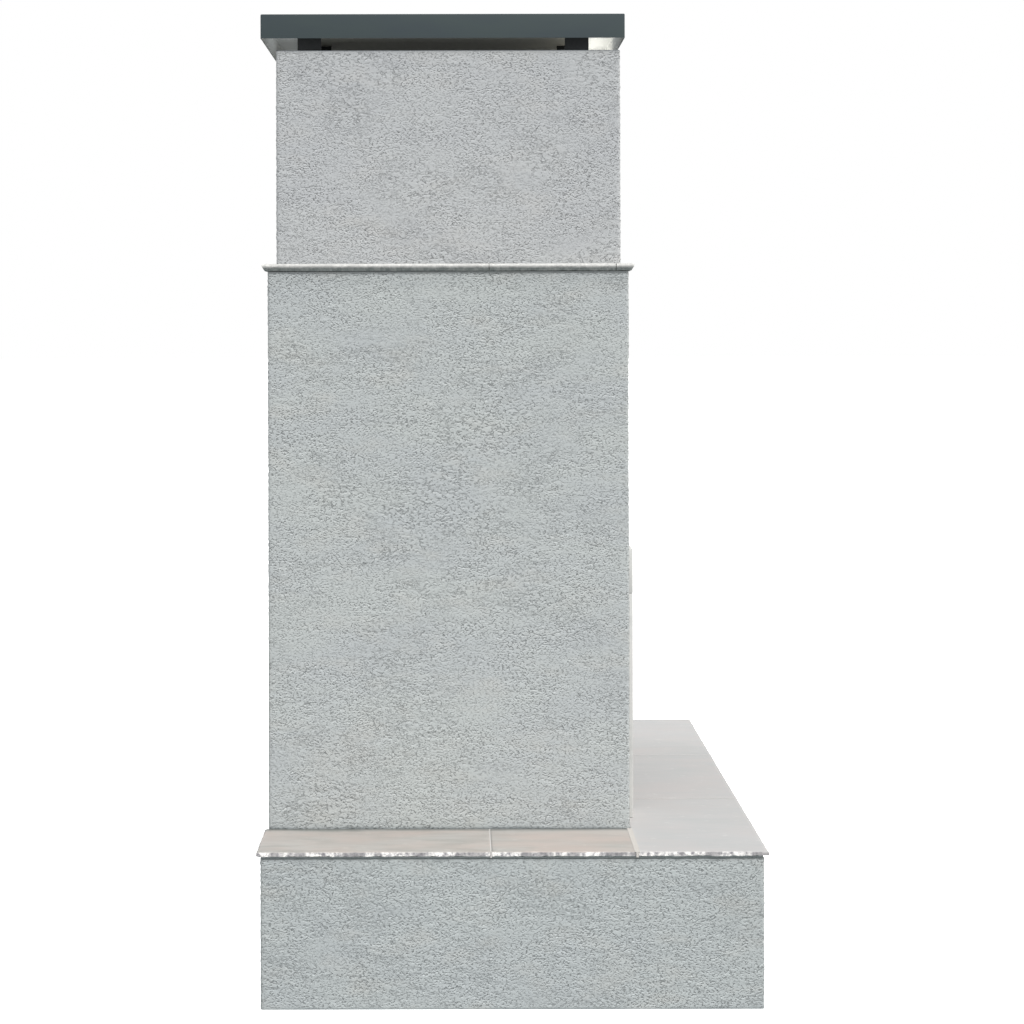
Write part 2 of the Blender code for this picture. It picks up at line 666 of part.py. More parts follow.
def make_firebox_shell():
    """A folded steel box, open at the front, with the throat cut in its top."""
    inner, outer = BRICK + 2 * GAP, BRICK + 2 * GAP + STEEL
    bm = bmesh.new()
    add_prism(bm, firebox_outline(outer, FIREBOX_FRONT), "Z", FIREBOX_BOTTOM, FIREBOX_TOP)
    shell = finish("firebox_shell", bm, FIREBOX_STEEL)
    room = bmesh.new()
    plan = firebox_outline(inner, FIREBOX_FRONT - OVERRUN)
    add_prism(room, plan, "Z", FIREBOX_BOTTOM + STEEL, FIREBOX_TOP - STEEL)
    throat = bmesh.new()
    half = THROAT_WIDTH / 2
    add_box(throat, (-half, THROAT_Y - THROAT_DEPTH / 2, FIREBOX_TOP - STEEL - OVERRUN),
            (half, THROAT_Y + THROAT_DEPTH / 2, FIREBOX_TOP + OVERRUN))
    combine(shell, cutter("firebox_room", room))
    combine(shell, cutter("firebox_throat", throat))
    return combine(shell, GAS_HOLE)


def add_brick_slab(bm, width, height, thickness, place):
    """A slab of firebrick in running bond; place turns (across, up, out) into a point."""
    rows = max(1, round(height / BRICK_COURSE))
    course = height / rows
    cuts = []
    for row in range(rows):
        offset = BRICK_LENGTH / 2 * (row % 2)
        count = int(width / BRICK_LENGTH) + 2
        joints = [i * BRICK_LENGTH - offset for i in range(count)]
        inside = [x for x in joints if BRICK_LENGTH / 6 < x < width - BRICK_LENGTH / 6]
        cuts.append([0, *inside, width])
    made = {}

    def vert(across, up):
        key = (round(across, 6), round(up, 6))
        if key not in made:
            made[key] = bm.verts.new((across, up, 0))
        return made[key]

    bricks = []
    for row, line in enumerate(cuts):
        low, high = row * course, (row + 1) * course
        below = cuts[row - 1] if row else []
        above = cuts[row + 1] if row + 1 < rows else []
        for left, right in zip(line, line[1:]):
            bottom = [left, *[x for x in below if left < x < right], right]
            top = [right, *[x for x in reversed(above) if left < x < right], left]
            bricks.append(bm.faces.new([vert(x, low) for x in bottom] + [vert(x, high) for x in top]))
    rim = [edge for edge in bm.edges if edge.is_boundary]
    pushed = bmesh.ops.extrude_edge_only(bm, edges=rim)["geom"]
    back = [v for v in pushed if isinstance(v, bmesh.types.BMVert)]
    bmesh.ops.translate(bm, verts=back, vec=(0, 0, BRICK_GROOVE - thickness))
    bmesh.ops.contextual_create(bm, geom=[edge for edge in pushed if isinstance(edge, bmesh.types.BMEdge)])
    bmesh.ops.inset_individual(bm, faces=bricks, thickness=BRICK_JOINT / 2, depth=BRICK_GROOVE)
    for v in bm.verts:
        v.co = Vector(place(*v.co))


def make_firebricks():
    back_face = FIREBOX_FRONT + FIREBOX_DEPTH
    half_front, half_back = OPENING_WIDTH / 2, FIREBOX_BACK_WIDTH / 2
    slope = math.atan2(half_front - half_back, FIREBOX_DEPTH)
    run = FIREBOX_DEPTH / math.cos(slope)
    low = FIREBOX_FLOOR + GAP
    height = BRICK_TOP - low

    back = bmesh.new()
    add_brick_slab(back, FIREBOX_BACK_WIDTH, height, BRICK,
                   lambda a, u, o: (a - half_back, back_face + BRICK_GROOVE - o, low + u))
    finish("firebrick_back", back, FIREBRICK)

    for side, label in ((-1, "left"), (1, "right")):
        panel = bmesh.new()
        along = Vector((-side * math.sin(slope), math.cos(slope), 0))
        out = Vector((-side * math.cos(slope), -math.sin(slope), 0))
        start = Vector((side * half_front, FIREBOX_FRONT, low))
        inset = BRICK_GROOVE + 2 * GAP

        def place(a, u, o, along=along, out=out, start=start, inset=inset):
            return start + along * (a + GAP) + out * (o - inset) + Vector((0, 0, u))

        add_brick_slab(panel, run - BRICK_GROOVE, height, BRICK, place)
        finish("firebrick_" + label, panel, FIREBRICK)

    floor = bmesh.new()
    wide = OPENING_WIDTH + 2 * BRICK
    add_brick_slab(floor, wide, FIREBOX_DEPTH + BRICK, BRICK,
                   lambda a, u, o: (a - wide / 2, FIREBOX_FRONT + GAP + u, FIREBOX_FLOOR - BRICK_GROOVE + o))
    slab = finish("firebrick_floor", floor, FIREBRICK)
    trim = bmesh.new()
    plan = firebox_outline(BRICK, FIREBOX_FRONT - OVERRUN)
    add_prism(trim, plan, "Z", BRICK_FLOOR_BOTTOM - OVERRUN, BRICK_TOP)
    combine(slab, cutter("firebrick_floor_trim", trim), "INTERSECT")
    return combine(slab, GAS_HOLE)


# Smoke path
def rounded_ring(half_x, half_y, centre_y, z, square, count):
    """A ring that blends from a rectangle, square 1, to an ellipse, square 0."""
    points = []
    for i in range(count):
        angle = 2 * math.pi * (i + 0.5) / count
        c, s = math.cos(angle), math.sin(angle)
        reach = 1 / max(abs(c), abs(s))
        stretch = 1 + (reach - 1) * square
        points.append((half_x * c * stretch, centre_y + half_y * s * stretch, z))
    return points


def make_smoke_dome():
    """A hood folded from flat sheets: an upright skirt, four slopes and a round collar."""
    bottom, top = FIREBOX_TOP + GAP, FIREBOX_TOP + GAP + DOME_HEIGHT
    radius = FLUE_BORE / 2
    dome_y = THROAT_Y + TRUNNION_RADIUS

    def skin(grow):
        half_x, half_y = DOME_WIDTH / 2 + grow, DOME_DEPTH / 2 + grow
        half_top, shoulder = radius + DOME_SHOULDER + grow, top + grow
        return [rounded_ring(half_x, half_y, dome_y, bottom, 1, DOME_SIDES),
                rounded_ring(half_x, half_y, dome_y, bottom + DOME_SKIRT, 1, DOME_SIDES),
                rounded_ring(half_top, half_top, FLUE_Y, shoulder, 1, DOME_SIDES),
                rounded_ring(radius + grow, radius + grow, FLUE_Y, shoulder, 0, DOME_SIDES),
                rounded_ring(radius + grow, radius + grow, FLUE_Y, top + COLLAR, 0, DOME_SIDES)]

    bm = bmesh.new()
    add_loft(bm, skin(0) + skin(-2 * STEEL)[::-1], closed=True)
    return finish("smoke_dome", bm, FIREBOX_STEEL, 40)


def make_flue_pipe():
    """Insulated chimney pipe, a closed ring of wall round its bore."""
    bm = bmesh.new()
    outer = FLUE_BORE / 2 + FLUE_WALL
    add_tube(bm, (0, FLUE_Y, FLUE_BOTTOM + GAP), (0, FLUE_Y, FLUE_TOP), "Z", outer, FLUE_BORE / 2, 40)
    return finish("flue_pipe", bm, STAINLESS, 40)


def make_chase_top():
    """Sheet that closes the chimney, with a collar round the flue."""
    bottom = CHIMNEY_TOP + GAP
    radius = FLUE_BORE / 2 + FLUE_WALL + COLLAR_CLEARANCE
    half_x, half_y = CHIMNEY_WIDTH / 2 - STEEL, BODY_DEPTH / 2 - STEEL
    bm = bmesh.new()
    add_box(bm, (-half_x, BODY_MIDDLE - half_y, bottom), (half_x, BODY_MIDDLE + half_y, CHASE_TOP))
    sheet = finish("chase_top", bm, ZINC)
    collar = bmesh.new()
    outer, rim = radius + STEEL, STEEL + COLLAR
    add_turned(collar, (0, FLUE_Y, bottom), "Z", [(STEEL / 2, outer), (rim, outer)], 40)
    hole = bmesh.new()
    add_turned(hole, (0, FLUE_Y, bottom - OVERRUN), "Z", [(0, radius), (rim + 2 * OVERRUN, radius)], 40)
    combine(sheet, cutter("chase_collar", collar), "UNION")
    return combine(sheet, cutter("chase_hole", hole))


# Damper
def make_damper_frame(front, rear, lug_inner, lug_outer):
    """A cast frame round the throat, with a bored lug at each side for the plate's trunnions."""
    half, bar = THROAT_WIDTH / 2, DAMPER_FRAME_BAR
    bm = bmesh.new()
    add_box(bm, (-half - bar, front - bar, DAMPER_FRAME_BOTTOM), (half + bar, rear + bar, DAMPER_FRAME_TOP))
    frame = finish("damper_frame", bm, CAST_IRON)
    lugs = bmesh.new()
    for side in (-1, 1):
        x_low, x_high = sorted((side * lug_inner, side * lug_outer))
        add_box(lugs, (x_low, HINGE_Y - LUG, DAMPER_FRAME_TOP - STEEL), (x_high, HINGE_Y + LUG, HINGE_Z + LUG))
    holes = bmesh.new()
    add_box(holes, (-half, front, DAMPER_FRAME_BOTTOM - OVERRUN), (half, rear, DAMPER_FRAME_TOP + OVERRUN))
    bores = bmesh.new()
    radius, reach = TRUNNION_RADIUS + TRUNNION_CLEARANCE, lug_outer + OVERRUN
    add_turned(bores, (-reach, HINGE_Y, HINGE_Z), "X", [(0, radius), (2 * reach, radius)], 16)
    combine(frame, cutter("damper_lugs", lugs), "UNION")
    combine(frame, cutter("damper_throat", holes))
    return combine(frame, cutter("damper_bores", bores))


def make_damper_plate(front, rear, plate_half, lug_outer):
    """A ribbed plate over the throat, on a shaft along its rear edge."""
    bm = bmesh.new()
    add_box(bm, (-plate_half, front - DAMPER_LAP, DAMPER_BOTTOM),
            (plate_half, HINGE_Y, DAMPER_BOTTOM + DAMPER_PLATE))
    plate = finish("damper_plate", bm, CAST_IRON)
    ribs = bmesh.new()
    for place in (-1, 0, 1):
        x = place * THROAT_WIDTH / 4
        add_box(ribs, (x - DAMPER_PLATE / 2, front, DAMPER_BOTTOM + DAMPER_PLATE / 2),
                (x + DAMPER_PLATE / 2, rear - LUG, DAMPER_BOTTOM + DAMPER_PLATE + DAMPER_RIB))
    shaft = bmesh.new()
    ends = [(0, TRUNNION_RADIUS), (2 * lug_outer, TRUNNION_RADIUS)]
    add_turned(shaft, (-lug_outer, HINGE_Y, HINGE_Z), "X", ends, 16)
    combine(plate, cutter("damper_ribs", ribs), "UNION")
    return combine(plate, cutter("damper_shaft", shaft), "UNION")


def make_damper_handle():
    """A rod that hangs from the plate into the firebox, with a pull ring."""
    rod_y = HINGE_Y - DAMPER_ROD_REACH
    top = DAMPER_BOTTOM - GAP
    bottom = top - DAMPER_ROD_LENGTH
    flare = DAMPER_ROD_RADIUS * 2
    rod = bmesh.new()
    add_turned(rod, (0, rod_y, bottom), "Z",
               [(0, DAMPER_ROD_RADIUS), (DAMPER_ROD_LENGTH - flare, DAMPER_ROD_RADIUS),
                (DAMPER_ROD_LENGTH - flare / 2, flare), (DAMPER_ROD_LENGTH, flare)], 12)
    handle = finish("damper_handle", rod, CAST_IRON, 40)
    centre = Vector((0, rod_y, bottom - DAMPER_RING_RADIUS + DAMPER_ROD_RADIUS))
    wire = DAMPER_ROD_RADIUS * DAMPER_RING_WIRE_SHARE
    rings = []
    for i in range(16):
        turn = 2 * math.pi * i / 16
        out = Vector((math.cos(turn), 0, math.sin(turn)))
        hub = centre + out * DAMPER_RING_RADIUS
        rings.append([hub + (out * math.cos(a) + Vector((0, math.sin(a), 0))) * wire
                      for a in (2 * math.pi * k / 8 for k in range(8))])
    ring = bmesh.new()
    add_loft(ring, rings, closed=True)
    return combine(handle, cutter("damper_ring", ring), "UNION")


def make_damper():
    """The frame stays, while plate and handle turn with an empty on the hinge."""
    front, rear = THROAT_Y - THROAT_DEPTH / 2, THROAT_Y + THROAT_DEPTH / 2
    plate_half = THROAT_WIDTH / 2 + DAMPER_LAP
    lug_inner = plate_half + GAP
    lug_outer = lug_inner + LUG
    make_damper_frame(front, rear, lug_inner, lug_outer)
    pivot = bpy.data.objects.new("damper_pivot", None)
    pivot.location = (0, HINGE_Y, HINGE_Z)
    bpy.context.scene.collection.objects.link(pivot)
    for piece in (make_damper_plate(front, rear, plate_half, lug_outer), make_damper_handle()):
        piece.parent = pivot
        piece.matrix_parent_inverse = Matrix.Translation(pivot.location).inverted()


# Chimney cap
def make_cap():
    """A folded tray with its skirt down, on four bent legs."""
    half_x, half_y = CAP_WIDTH / 2, CAP_DEPTH / 2
    low, high = (-half_x, CAP_MIDDLE - half_y), (half_x, CAP_MIDDLE + half_y)
    bm = bmesh.new()
    add_box(bm, (*low, CAP_BOTTOM), (*high, CAP_TOP))
    bevel_where(bm, lambda co: co.z > CAP_BOTTOM + CAP_SKIRT / 2, STEEL, 2)
    tray = finish("cap_tray", bm, CAP_PAINT, 30)
    room = bmesh.new()
    add_box(room, (low[0] + STEEL, low[1] + STEEL, CAP_BOTTOM - OVERRUN),
            (high[0] - STEEL, high[1] - STEEL, CAP_TOP - STEEL))
    combine(tray, cutter("cap_room", room))

    foot = CHASE_TOP + GAP
    top = CAP_TOP - STEEL - GAP
    for side, across in ((-1, "left"), (1, "right")):
        for y_low, depth in ((low[1] + LEG_INSET, "front"), (high[1] - LEG_INSET - LEG_WIDTH, "rear")):
            x = side * LEG_PITCH / 2
            outer, inner = x + side * LEG_STEEL / 2, x - side * LEG_STEEL / 2
            tip = x - side * LEG_FOOT
            brow = x + side * LEG_FOOT / 2
            outline = [(tip, foot), (outer, foot), (outer, top - LEG_STEEL), (brow, top - LEG_STEEL),
                       (brow, top), (inner, top), (inner, foot + LEG_STEEL), (tip, foot + LEG_STEEL)]
            leg = bmesh.new()
            add_prism(leg, outline, "Y", y_low, y_low + LEG_WIDTH)
            finish("cap_leg_%s_%s" % (depth, across), leg, LEG_PAINT)


# Burner, grate and logs
def make_burner_pan():
    """A folded tray, notched at both ends to carry the burner tube."""
    floor = FIREBOX_FLOOR + GAP
    half = PAN_LENGTH / 2
    low, high = (-half, GRATE_MIDDLE - PAN_DEPTH / 2), (half, GRATE_MIDDLE + PAN_DEPTH / 2)
    rim = floor + PAN_HEIGHT
    bm = bmesh.new()
    add_box(bm, (*low, floor), (*high, rim))
    pan = finish("burner_pan", bm, STAINLESS)
    room = bmesh.new()
    add_box(room, (low[0] + STEEL, low[1] + STEEL, floor + STEEL),
            (high[0] - STEEL, high[1] - STEEL, rim + OVERRUN))
    combine(pan, cutter("burner_pan_room", room))
    notch = bmesh.new()
    reach = half + OVERRUN
    seat = BURNER_RADIUS + GAP
    add_turned(notch, (-reach, GRATE_MIDDLE, CONTROL_Z), "X", [(0, seat), (2 * reach, seat)], 16)
    return combine(pan, cutter("burner_pan_notch", notch))


def bend_path(start, corner_radius, corner, end, steps):
    """Path along X from start to a corner, round it, and along -Y to end."""
    path = [(start, corner[1])]
    for i in range(steps + 1):
        angle = math.pi / 2 * i / steps
        path.append((corner[0] - corner_radius + corner_radius * math.sin(angle),
                     corner[1] - corner_radius + corner_radius * math.cos(angle)))
    path.append((corner[0], end))
    return path


def make_burner_tube():
    """Pipe from the valve round a bend and along the pan, with a row of ports on top."""
    start = -PAN_LENGTH / 2 - BURNER_END
    end = VALVE_REAR + GAP
    path = bend_path(start, BURNER_BEND, (VALVE_X, GRATE_MIDDLE), end, 6)
    inner = [(start + 2 * STEEL, GRATE_MIDDLE), *path[1:]]

    def skin(points, radius):
        rings = []
        for i, (x, y) in enumerate(points):
            before, after = points[max(i - 1, 0)], points[min(i + 1, len(points) - 1)]
            way = Vector((after[0] - before[0], after[1] - before[1], 0)).normalized()
            if i == len(points) - 1:
                way = Vector((0, -1, 0))
            if i == 1:
                way = Vector((1, 0, 0))
            side = Vector((-way.y, way.x, 0))
            turns = [2 * math.pi * k / 16 for k in range(16)]
            centre = Vector((x, y, CONTROL_Z))
            rings.append([centre + (side * math.cos(t) + Vector((0, 0, math.sin(t)))) * radius for t in turns])
        return rings

    tube = bmesh.new()
    add_loft(tube, skin(path, BURNER_RADIUS) + skin(inner, BURNER_BORE)[::-1])
    burner = finish("burner_tube", tube, STAINLESS, 40)
    ports = bmesh.new()
    count = int(PAN_LENGTH / BURNER_PORT_PITCH) - 1
    for i in range(count):
        x = -PAN_LENGTH / 2 + (i + 1) * BURNER_PORT_PITCH
        drill = [(0, BURNER_PORT), (BURNER_RADIUS + OVERRUN, BURNER_PORT)]
        add_turned(ports, (x, GRATE_MIDDLE, CONTROL_Z), "Z", drill, 8)
    return combine(burner, cutter("burner_ports", ports))


def make_grate():
    """Cast bars with turned-up fronts on two cross bars and four legs."""
    half = GRATE_BAR / 2
    rear = GRATE_FRONT + GRATE_DEPTH
    under = GRATE_TOP - GRATE_BAR
    bm = bmesh.new()
    pitch = (GRATE_WIDTH - GRATE_BAR) / (GRATE_BARS - 1)
    tip = GRATE_TOP + GRATE_LIP
    outline = [(rear, under), (rear, GRATE_TOP), (GRATE_FRONT + 2 * GRATE_BAR, GRATE_TOP),
               (GRATE_FRONT + GRATE_BAR, GRATE_TOP + GRATE_BAR),
               (GRATE_FRONT + GRATE_BAR * GRATE_TIP_SHARE, tip), (GRATE_FRONT, tip),
               (GRATE_FRONT, GRATE_TOP + half), (GRATE_FRONT + GRATE_BAR * GRATE_CHIN_SHARE, under)]
    for i in range(GRATE_BARS):
        x = -GRATE_WIDTH / 2 + half + i * pitch
        add_prism(bm, outline, "X", x - half, x + half)
    grate = finish("log_grate", bm, CAST_IRON)
    below = bmesh.new()
    reach = GRATE_WIDTH / 2
    rows = (GRATE_FRONT + GRATE_LEG_INSET, rear - GRATE_LEG_INSET)
    for y in rows:
        add_box(below, (-reach - half / 2, y - half, under - half), (reach + half / 2, y + half, under + half))
    combine(grate, cutter("grate_cross_bars", below), "UNION")
    legs = bmesh.new()
    for y in rows:
        for x in (-reach + GRATE_LEG_INSET, reach - GRATE_LEG_INSET):
            add_loft(legs, [[(x + a * reach_out, y + b * reach_out, z)
                             for a, b in ((-1, -1), (1, -1), (1, 1), (-1, 1))]
                            for z, reach_out in ((FIREBOX_FLOOR + GAP, half * GRATE_FOOT_SHARE),
                                                 (under - half / 2, half))])
    return combine(grate, cutter("grate_legs", legs), "UNION")


def log_mesh(start, end, radius, seed, flat=None, grow=0):
    """A rough round log between two points, with an optional level cut underneath."""
    rng = random.Random(seed)
    start, end = Vector(start), Vector(end)
    along = (end - start).normalized()
    side = along.cross(Vector((0, 0, 1))).normalized()
    up = side.cross(along)
    count, stations = 18, 8
    lobes = [(rng.uniform(0, 2 * math.pi), rng.uniform(0.4, 1)) for _ in range(3)]
    rings = []
    for i in range(stations + 1):
        share = i / stations
        swell = 1 - LOG_TAPER_SHARE * share + LOG_SWELL_SHARE * math.sin(share * 7 + seed)
        centre = start.lerp(end, share) + side * math.sin(share * 4 + seed) * radius * LOG_CROOK_SHARE
        ring = []
        for k in range(count):
            angle = 2 * math.pi * k / count
            waves = [size * math.sin(n * angle + phase + share * 3) for n, (phase, size) in enumerate(lobes, 2)]
            lump = (sum(waves) + rng.uniform(-1, 1)) / 3
            reach = radius * swell * (1 + LOG_ROUGHNESS_SHARE * lump) + grow
            ring.append(centre + (side * math.cos(angle) + up * math.sin(angle)) * reach)
        rings.append(ring)
    if grow:
        rings[0] = [p - along * grow for p in rings[0]]
        rings[-1] = [p + along * grow for p in rings[-1]]
    bm = bmesh.new()
    add_loft(bm, rings)
    bmesh.ops.triangulate(bm, faces=bm.faces[:], quad_method="FIXED")
    if flat is not None:
        cut = bmesh.ops.bisect_plane(bm, geom=bm.verts[:] + bm.edges[:] + bm.faces[:], plane_co=(0, 0, flat),
                                     plane_no=(0, 0, -1), clear_outer=True)
        rim = [item for item in cut["geom_cut"] if isinstance(item, bmesh.types.BMEdge)]
        bmesh.ops.contextual_create(bm, geom=rim)
    return bm


def make_logs():
    seat = GRATE_TOP + GAP
    rear_y = GRATE_FRONT + GRATE_DEPTH - LOG_REAR_RADIUS
    front_y = GRATE_FRONT + 2 * GRATE_BAR + LOG_FRONT_RADIUS * LOG_STOP_SHARE
    rear_z, front_z = seat + LOG_REAR_RADIUS * LOG_SINK_SHARE, seat + LOG_FRONT_RADIUS * LOG_SINK_SHARE
    half_rear, half_front = LOG_REAR_LENGTH / 2, LOG_FRONT_LENGTH / 2
    rear = ((-half_rear, rear_y, rear_z), (half_rear, rear_y, rear_z), LOG_REAR_RADIUS, 11)
    front = ((half_front, front_y, front_z), (-half_front, front_y, front_z), LOG_FRONT_RADIUS, 23)
    finish("log_rear", log_mesh(*rear, flat=seat), BARK, 40)
    finish("log_front", log_mesh(*front, flat=seat), BARK, 40)
    tools = [cutter("log_seat_rear", log_mesh(*rear, grow=2 * GAP)),
             cutter("log_seat_front", log_mesh(*front, grow=2 * GAP))]
    low_z = front_z + LOG_FRONT_RADIUS + LOG_TOP_RADIUS - LOG_NOTCH
    high_z = rear_z + LOG_REAR_RADIUS + LOG_TOP_RADIUS - LOG_NOTCH
    slope = (high_z - low_z) / (rear_y - front_y)
    places = (-LOG_TOP_SPREAD, 0, LOG_TOP_SPREAD)
    for label, x, lean, seed in zip(("left", "middle", "right"), places, LOG_LEAN_SHARES, (31, 47, 59)):
        way = Vector((lean, 1, slope)).normalized()
        middle = Vector((x, (front_y + rear_y) / 2, (low_z + high_z) / 2))
        half = way * (LOG_TOP_LENGTH / 2)
        made = finish("log_" + label, log_mesh(middle - half, middle + half, LOG_TOP_RADIUS, seed), BARK, 40)
        for tool in tools:
            combine(made, tool)


# Gas control
def make_control_bracket():
    """Sheet folded with its foot to the rear, drilled for the spindle and the button."""
    floor = FIREBOX_FLOOR + GAP
    half = BRACKET_WIDTH / 2
    front, back, top = CONTROL_PLATE, CONTROL_PLATE + BRACKET_FOOT, floor + BRACKET_HEIGHT
    outline = [(front, floor), (back, floor), (back, floor + STEEL), (front + STEEL, floor + STEEL),
               (front + STEEL, top), (front, top)]
    bm = bmesh.new()
    add_prism(bm, outline, "X", CONTROL_X - half, CONTROL_X + half)
    bracket = finish("control_bracket", bm, STAINLESS)
    holes = bmesh.new()
    for x, radius in ((VALVE_X, SPINDLE_RADIUS), (BUTTON_X, BUTTON_RADIUS)):
        add_turned(holes, (x, front - OVERRUN, CONTROL_Z), "Y",
                   [(0, radius + SPINDLE_CLEARANCE), (STEEL + 2 * OVERRUN, radius + SPINDLE_CLEARANCE)], 20)
    combine(bracket, cutter("control_holes", holes))
    return combine(bracket, GAS_HOLE)


def make_gas_valve():
    """Brass block, bored from the front for its spindle."""
    half = VALVE_SIZE / 2
    bm = bmesh.new()
    add_box(bm, (VALVE_X - half, VALVE_FRONT, CONTROL_Z - half),
            (VALVE_X + half, VALVE_REAR, CONTROL_Z + half))
    bmesh.ops.bevel(bm, geom=bm.edges[:], offset=VALVE_CHAMFER, segments=1, affect="EDGES")
    valve = finish("gas_valve", bm, BRASS)
    bore = bmesh.new()
    radius = SPINDLE_RADIUS + SPINDLE_CLEARANCE
    depth = OVERRUN + SPINDLE_IN + SPINDLE_STROKE + GAP
    add_turned(bore, (VALVE_X, VALVE_FRONT - OVERRUN, CONTROL_Z), "Y", [(0, radius), (depth, radius)], 20)
    return combine(valve, cutter("gas_valve_bore", bore))


def make_spindle_and_knob():
    """The spindle pushes in, and the knob turns on it."""
    middle = (VALVE_X, CONTROL_PLATE - SPINDLE_OUT, CONTROL_Z)
    length = SPINDLE_OUT + STEEL + GAP + SPINDLE_IN
    spindle = bmesh.new()
    add_turned(spindle, (0, 0, 0), "Y", [(0, SPINDLE_RADIUS), (length, SPINDLE_RADIUS)], 16)
    made = finish("valve_spindle", spindle, BRASS, 40)
    made.location = middle

    back = SPINDLE_OUT - SPINDLE_STROKE - SPINDLE_CLEARANCE
    face = back - KNOB_DEPTH
    hub_face = face + KNOB_DEPTH / 3
    knob = bmesh.new()
    skirt = back - KNOB_SKIRT
    add_turned(knob, (0, 0, 0), "Y",
               [(hub_face, KNOB_HUB_RADIUS * KNOB_FACE_SHARE), (hub_face + KNOB_GRIP / 6, KNOB_HUB_RADIUS),
                (skirt, KNOB_HUB_RADIUS), (skirt, KNOB_RADIUS * KNOB_EDGE_SHARE),
                (back - KNOB_SKIRT / 2, KNOB_RADIUS), (back, KNOB_RADIUS)], 28)
    turned = finish("gas_knob", knob, KNOB_PLASTIC, 40)
    grip = bmesh.new()
    half, narrow = KNOB_GRIP / 2, KNOB_GRIP / 2 * KNOB_TAPER_SHARE
    outline = [(-narrow, face), (narrow, face), (half, skirt), (-half, skirt)]
    add_prism(grip, outline, "Z", -KNOB_HUB_RADIUS, KNOB_RADIUS - GAP)
    bore = bmesh.new()
    radius = SPINDLE_RADIUS + GAP
    add_turned(bore, (0, 0, 0), "Y", [(-GAP, radius), (back + OVERRUN, radius)], 20)
    for name, shape, operation in (("gas_knob_grip", grip, "UNION"), ("gas_knob_bore", bore, "DIFFERENCE")):
        tool = cutter(name, shape)
        tool.location = middle
        combine(turned, tool, operation)
    turned.location = middle


def make_igniter():
    """A push button in its igniter barrel behind the bracket."""
    front = CONTROL_PLATE + STEEL + GAP
    step = IGNITER_LENGTH * IGNITER_BARREL_SHARE
    barrel = bmesh.new()
    add_turned(barrel, (BUTTON_X, front, CONTROL_Z), "Y",
               [(0, IGNITER_RADIUS), (step, IGNITER_RADIUS), (step, BUTTON_RADIUS),
                (IGNITER_LENGTH, BUTTON_RADIUS)], 24)
    body = finish("igniter_body", barrel, BUTTON_PLASTIC, 40)
    body.data.materials[0] = KNOB_PLASTIC
    bore = bmesh.new()
    radius = BUTTON_RADIUS + SPINDLE_CLEARANCE
    depth = OVERRUN + BUTTON_IN + BUTTON_STROKE + GAP
    add_turned(bore, (BUTTON_X, front - OVERRUN, CONTROL_Z), "Y", [(0, radius), (depth, radius)], 20)
    combine(body, cutter("igniter_bore", bore))
    length = BUTTON_OUT + STEEL + GAP + BUTTON_IN
    dome = BUTTON_RADIUS * BUTTON_DOME_SHARE
    button = bmesh.new()
    add_turned(button, (0, 0, 0), "Y",
               [(0, BUTTON_RADIUS - dome), (dome, BUTTON_RADIUS), (length, BUTTON_RADIUS)], 20)
    pressed = finish("igniter_button", button, BUTTON_PLASTIC, 40)
    pressed.location = (BUTTON_X, CONTROL_PLATE - BUTTON_OUT, CONTROL_Z)


def make_gas_pipe():
    """Supply pipe from the base, up through the deck and the firebox floor to the valve."""
    top = CONTROL_Z - VALVE_SIZE / 2 - GAP
    bottom = BASE_HEIGHT - BOARD - GAS_PIPE_DROP
    low, high = (VALVE_X, VALVE_MIDDLE, bottom), (VALVE_X, VALVE_MIDDLE, top)
    bm = bmesh.new()
    add_tube(bm, low, high, "Z", GAS_PIPE_RADIUS, GAS_PIPE_BORE, 20)
    return finish("gas_pipe", bm, ZINC, 40)


def gas_hole():
    """One cutter for the hole of the gas pipe in deck, firebox floor, bricks and bracket."""
    bm = bmesh.new()
    radius = GAS_PIPE_RADIUS + GAS_HOLE_CLEARANCE
    bottom = BASE_HEIGHT - BOARD - OVERRUN
    depth = FIREBOX_FLOOR + OVERRUN - bottom
    add_turned(bm, (VALVE_X, VALVE_MIDDLE, bottom), "Z", [(0, radius), (depth, radius)], 20)
    return cutter("gas_pipe_hole", bm)


GAS_HOLE = gas_hole()
make_base_frame()
make_base_shell()
make_base_deck()
make_hearth_bed()
make_hearth_tiles()
make_body_frame()
make_body_shell()
make_mantel_board()
make_mantel_tiles()
make_chimney_sill()
make_surround()
make_firebox_shell()
make_firebricks()
make_smoke_dome()
make_flue_pipe()
make_chimney_frame()
make_chimney_shell()
make_chase_top()
make_damper()
make_cap()
make_burner_pan()
make_burner_tube()
make_grate()
make_logs()
make_control_bracket()
make_gas_valve()
make_spindle_and_knob()
make_igniter()
make_gas_pipe()
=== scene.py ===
# %% [markdown]
# # Dressing an outdoor fireplace
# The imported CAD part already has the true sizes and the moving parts. This lesson puts the stucco,
# the split stone tiles, the folded cap, the bark and every finish around it, and sets up a studio.
# A node either gets a better material, or a new piece stands for it.

import math
import random

import bmesh
import bpy
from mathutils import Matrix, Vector, kdtree, noise


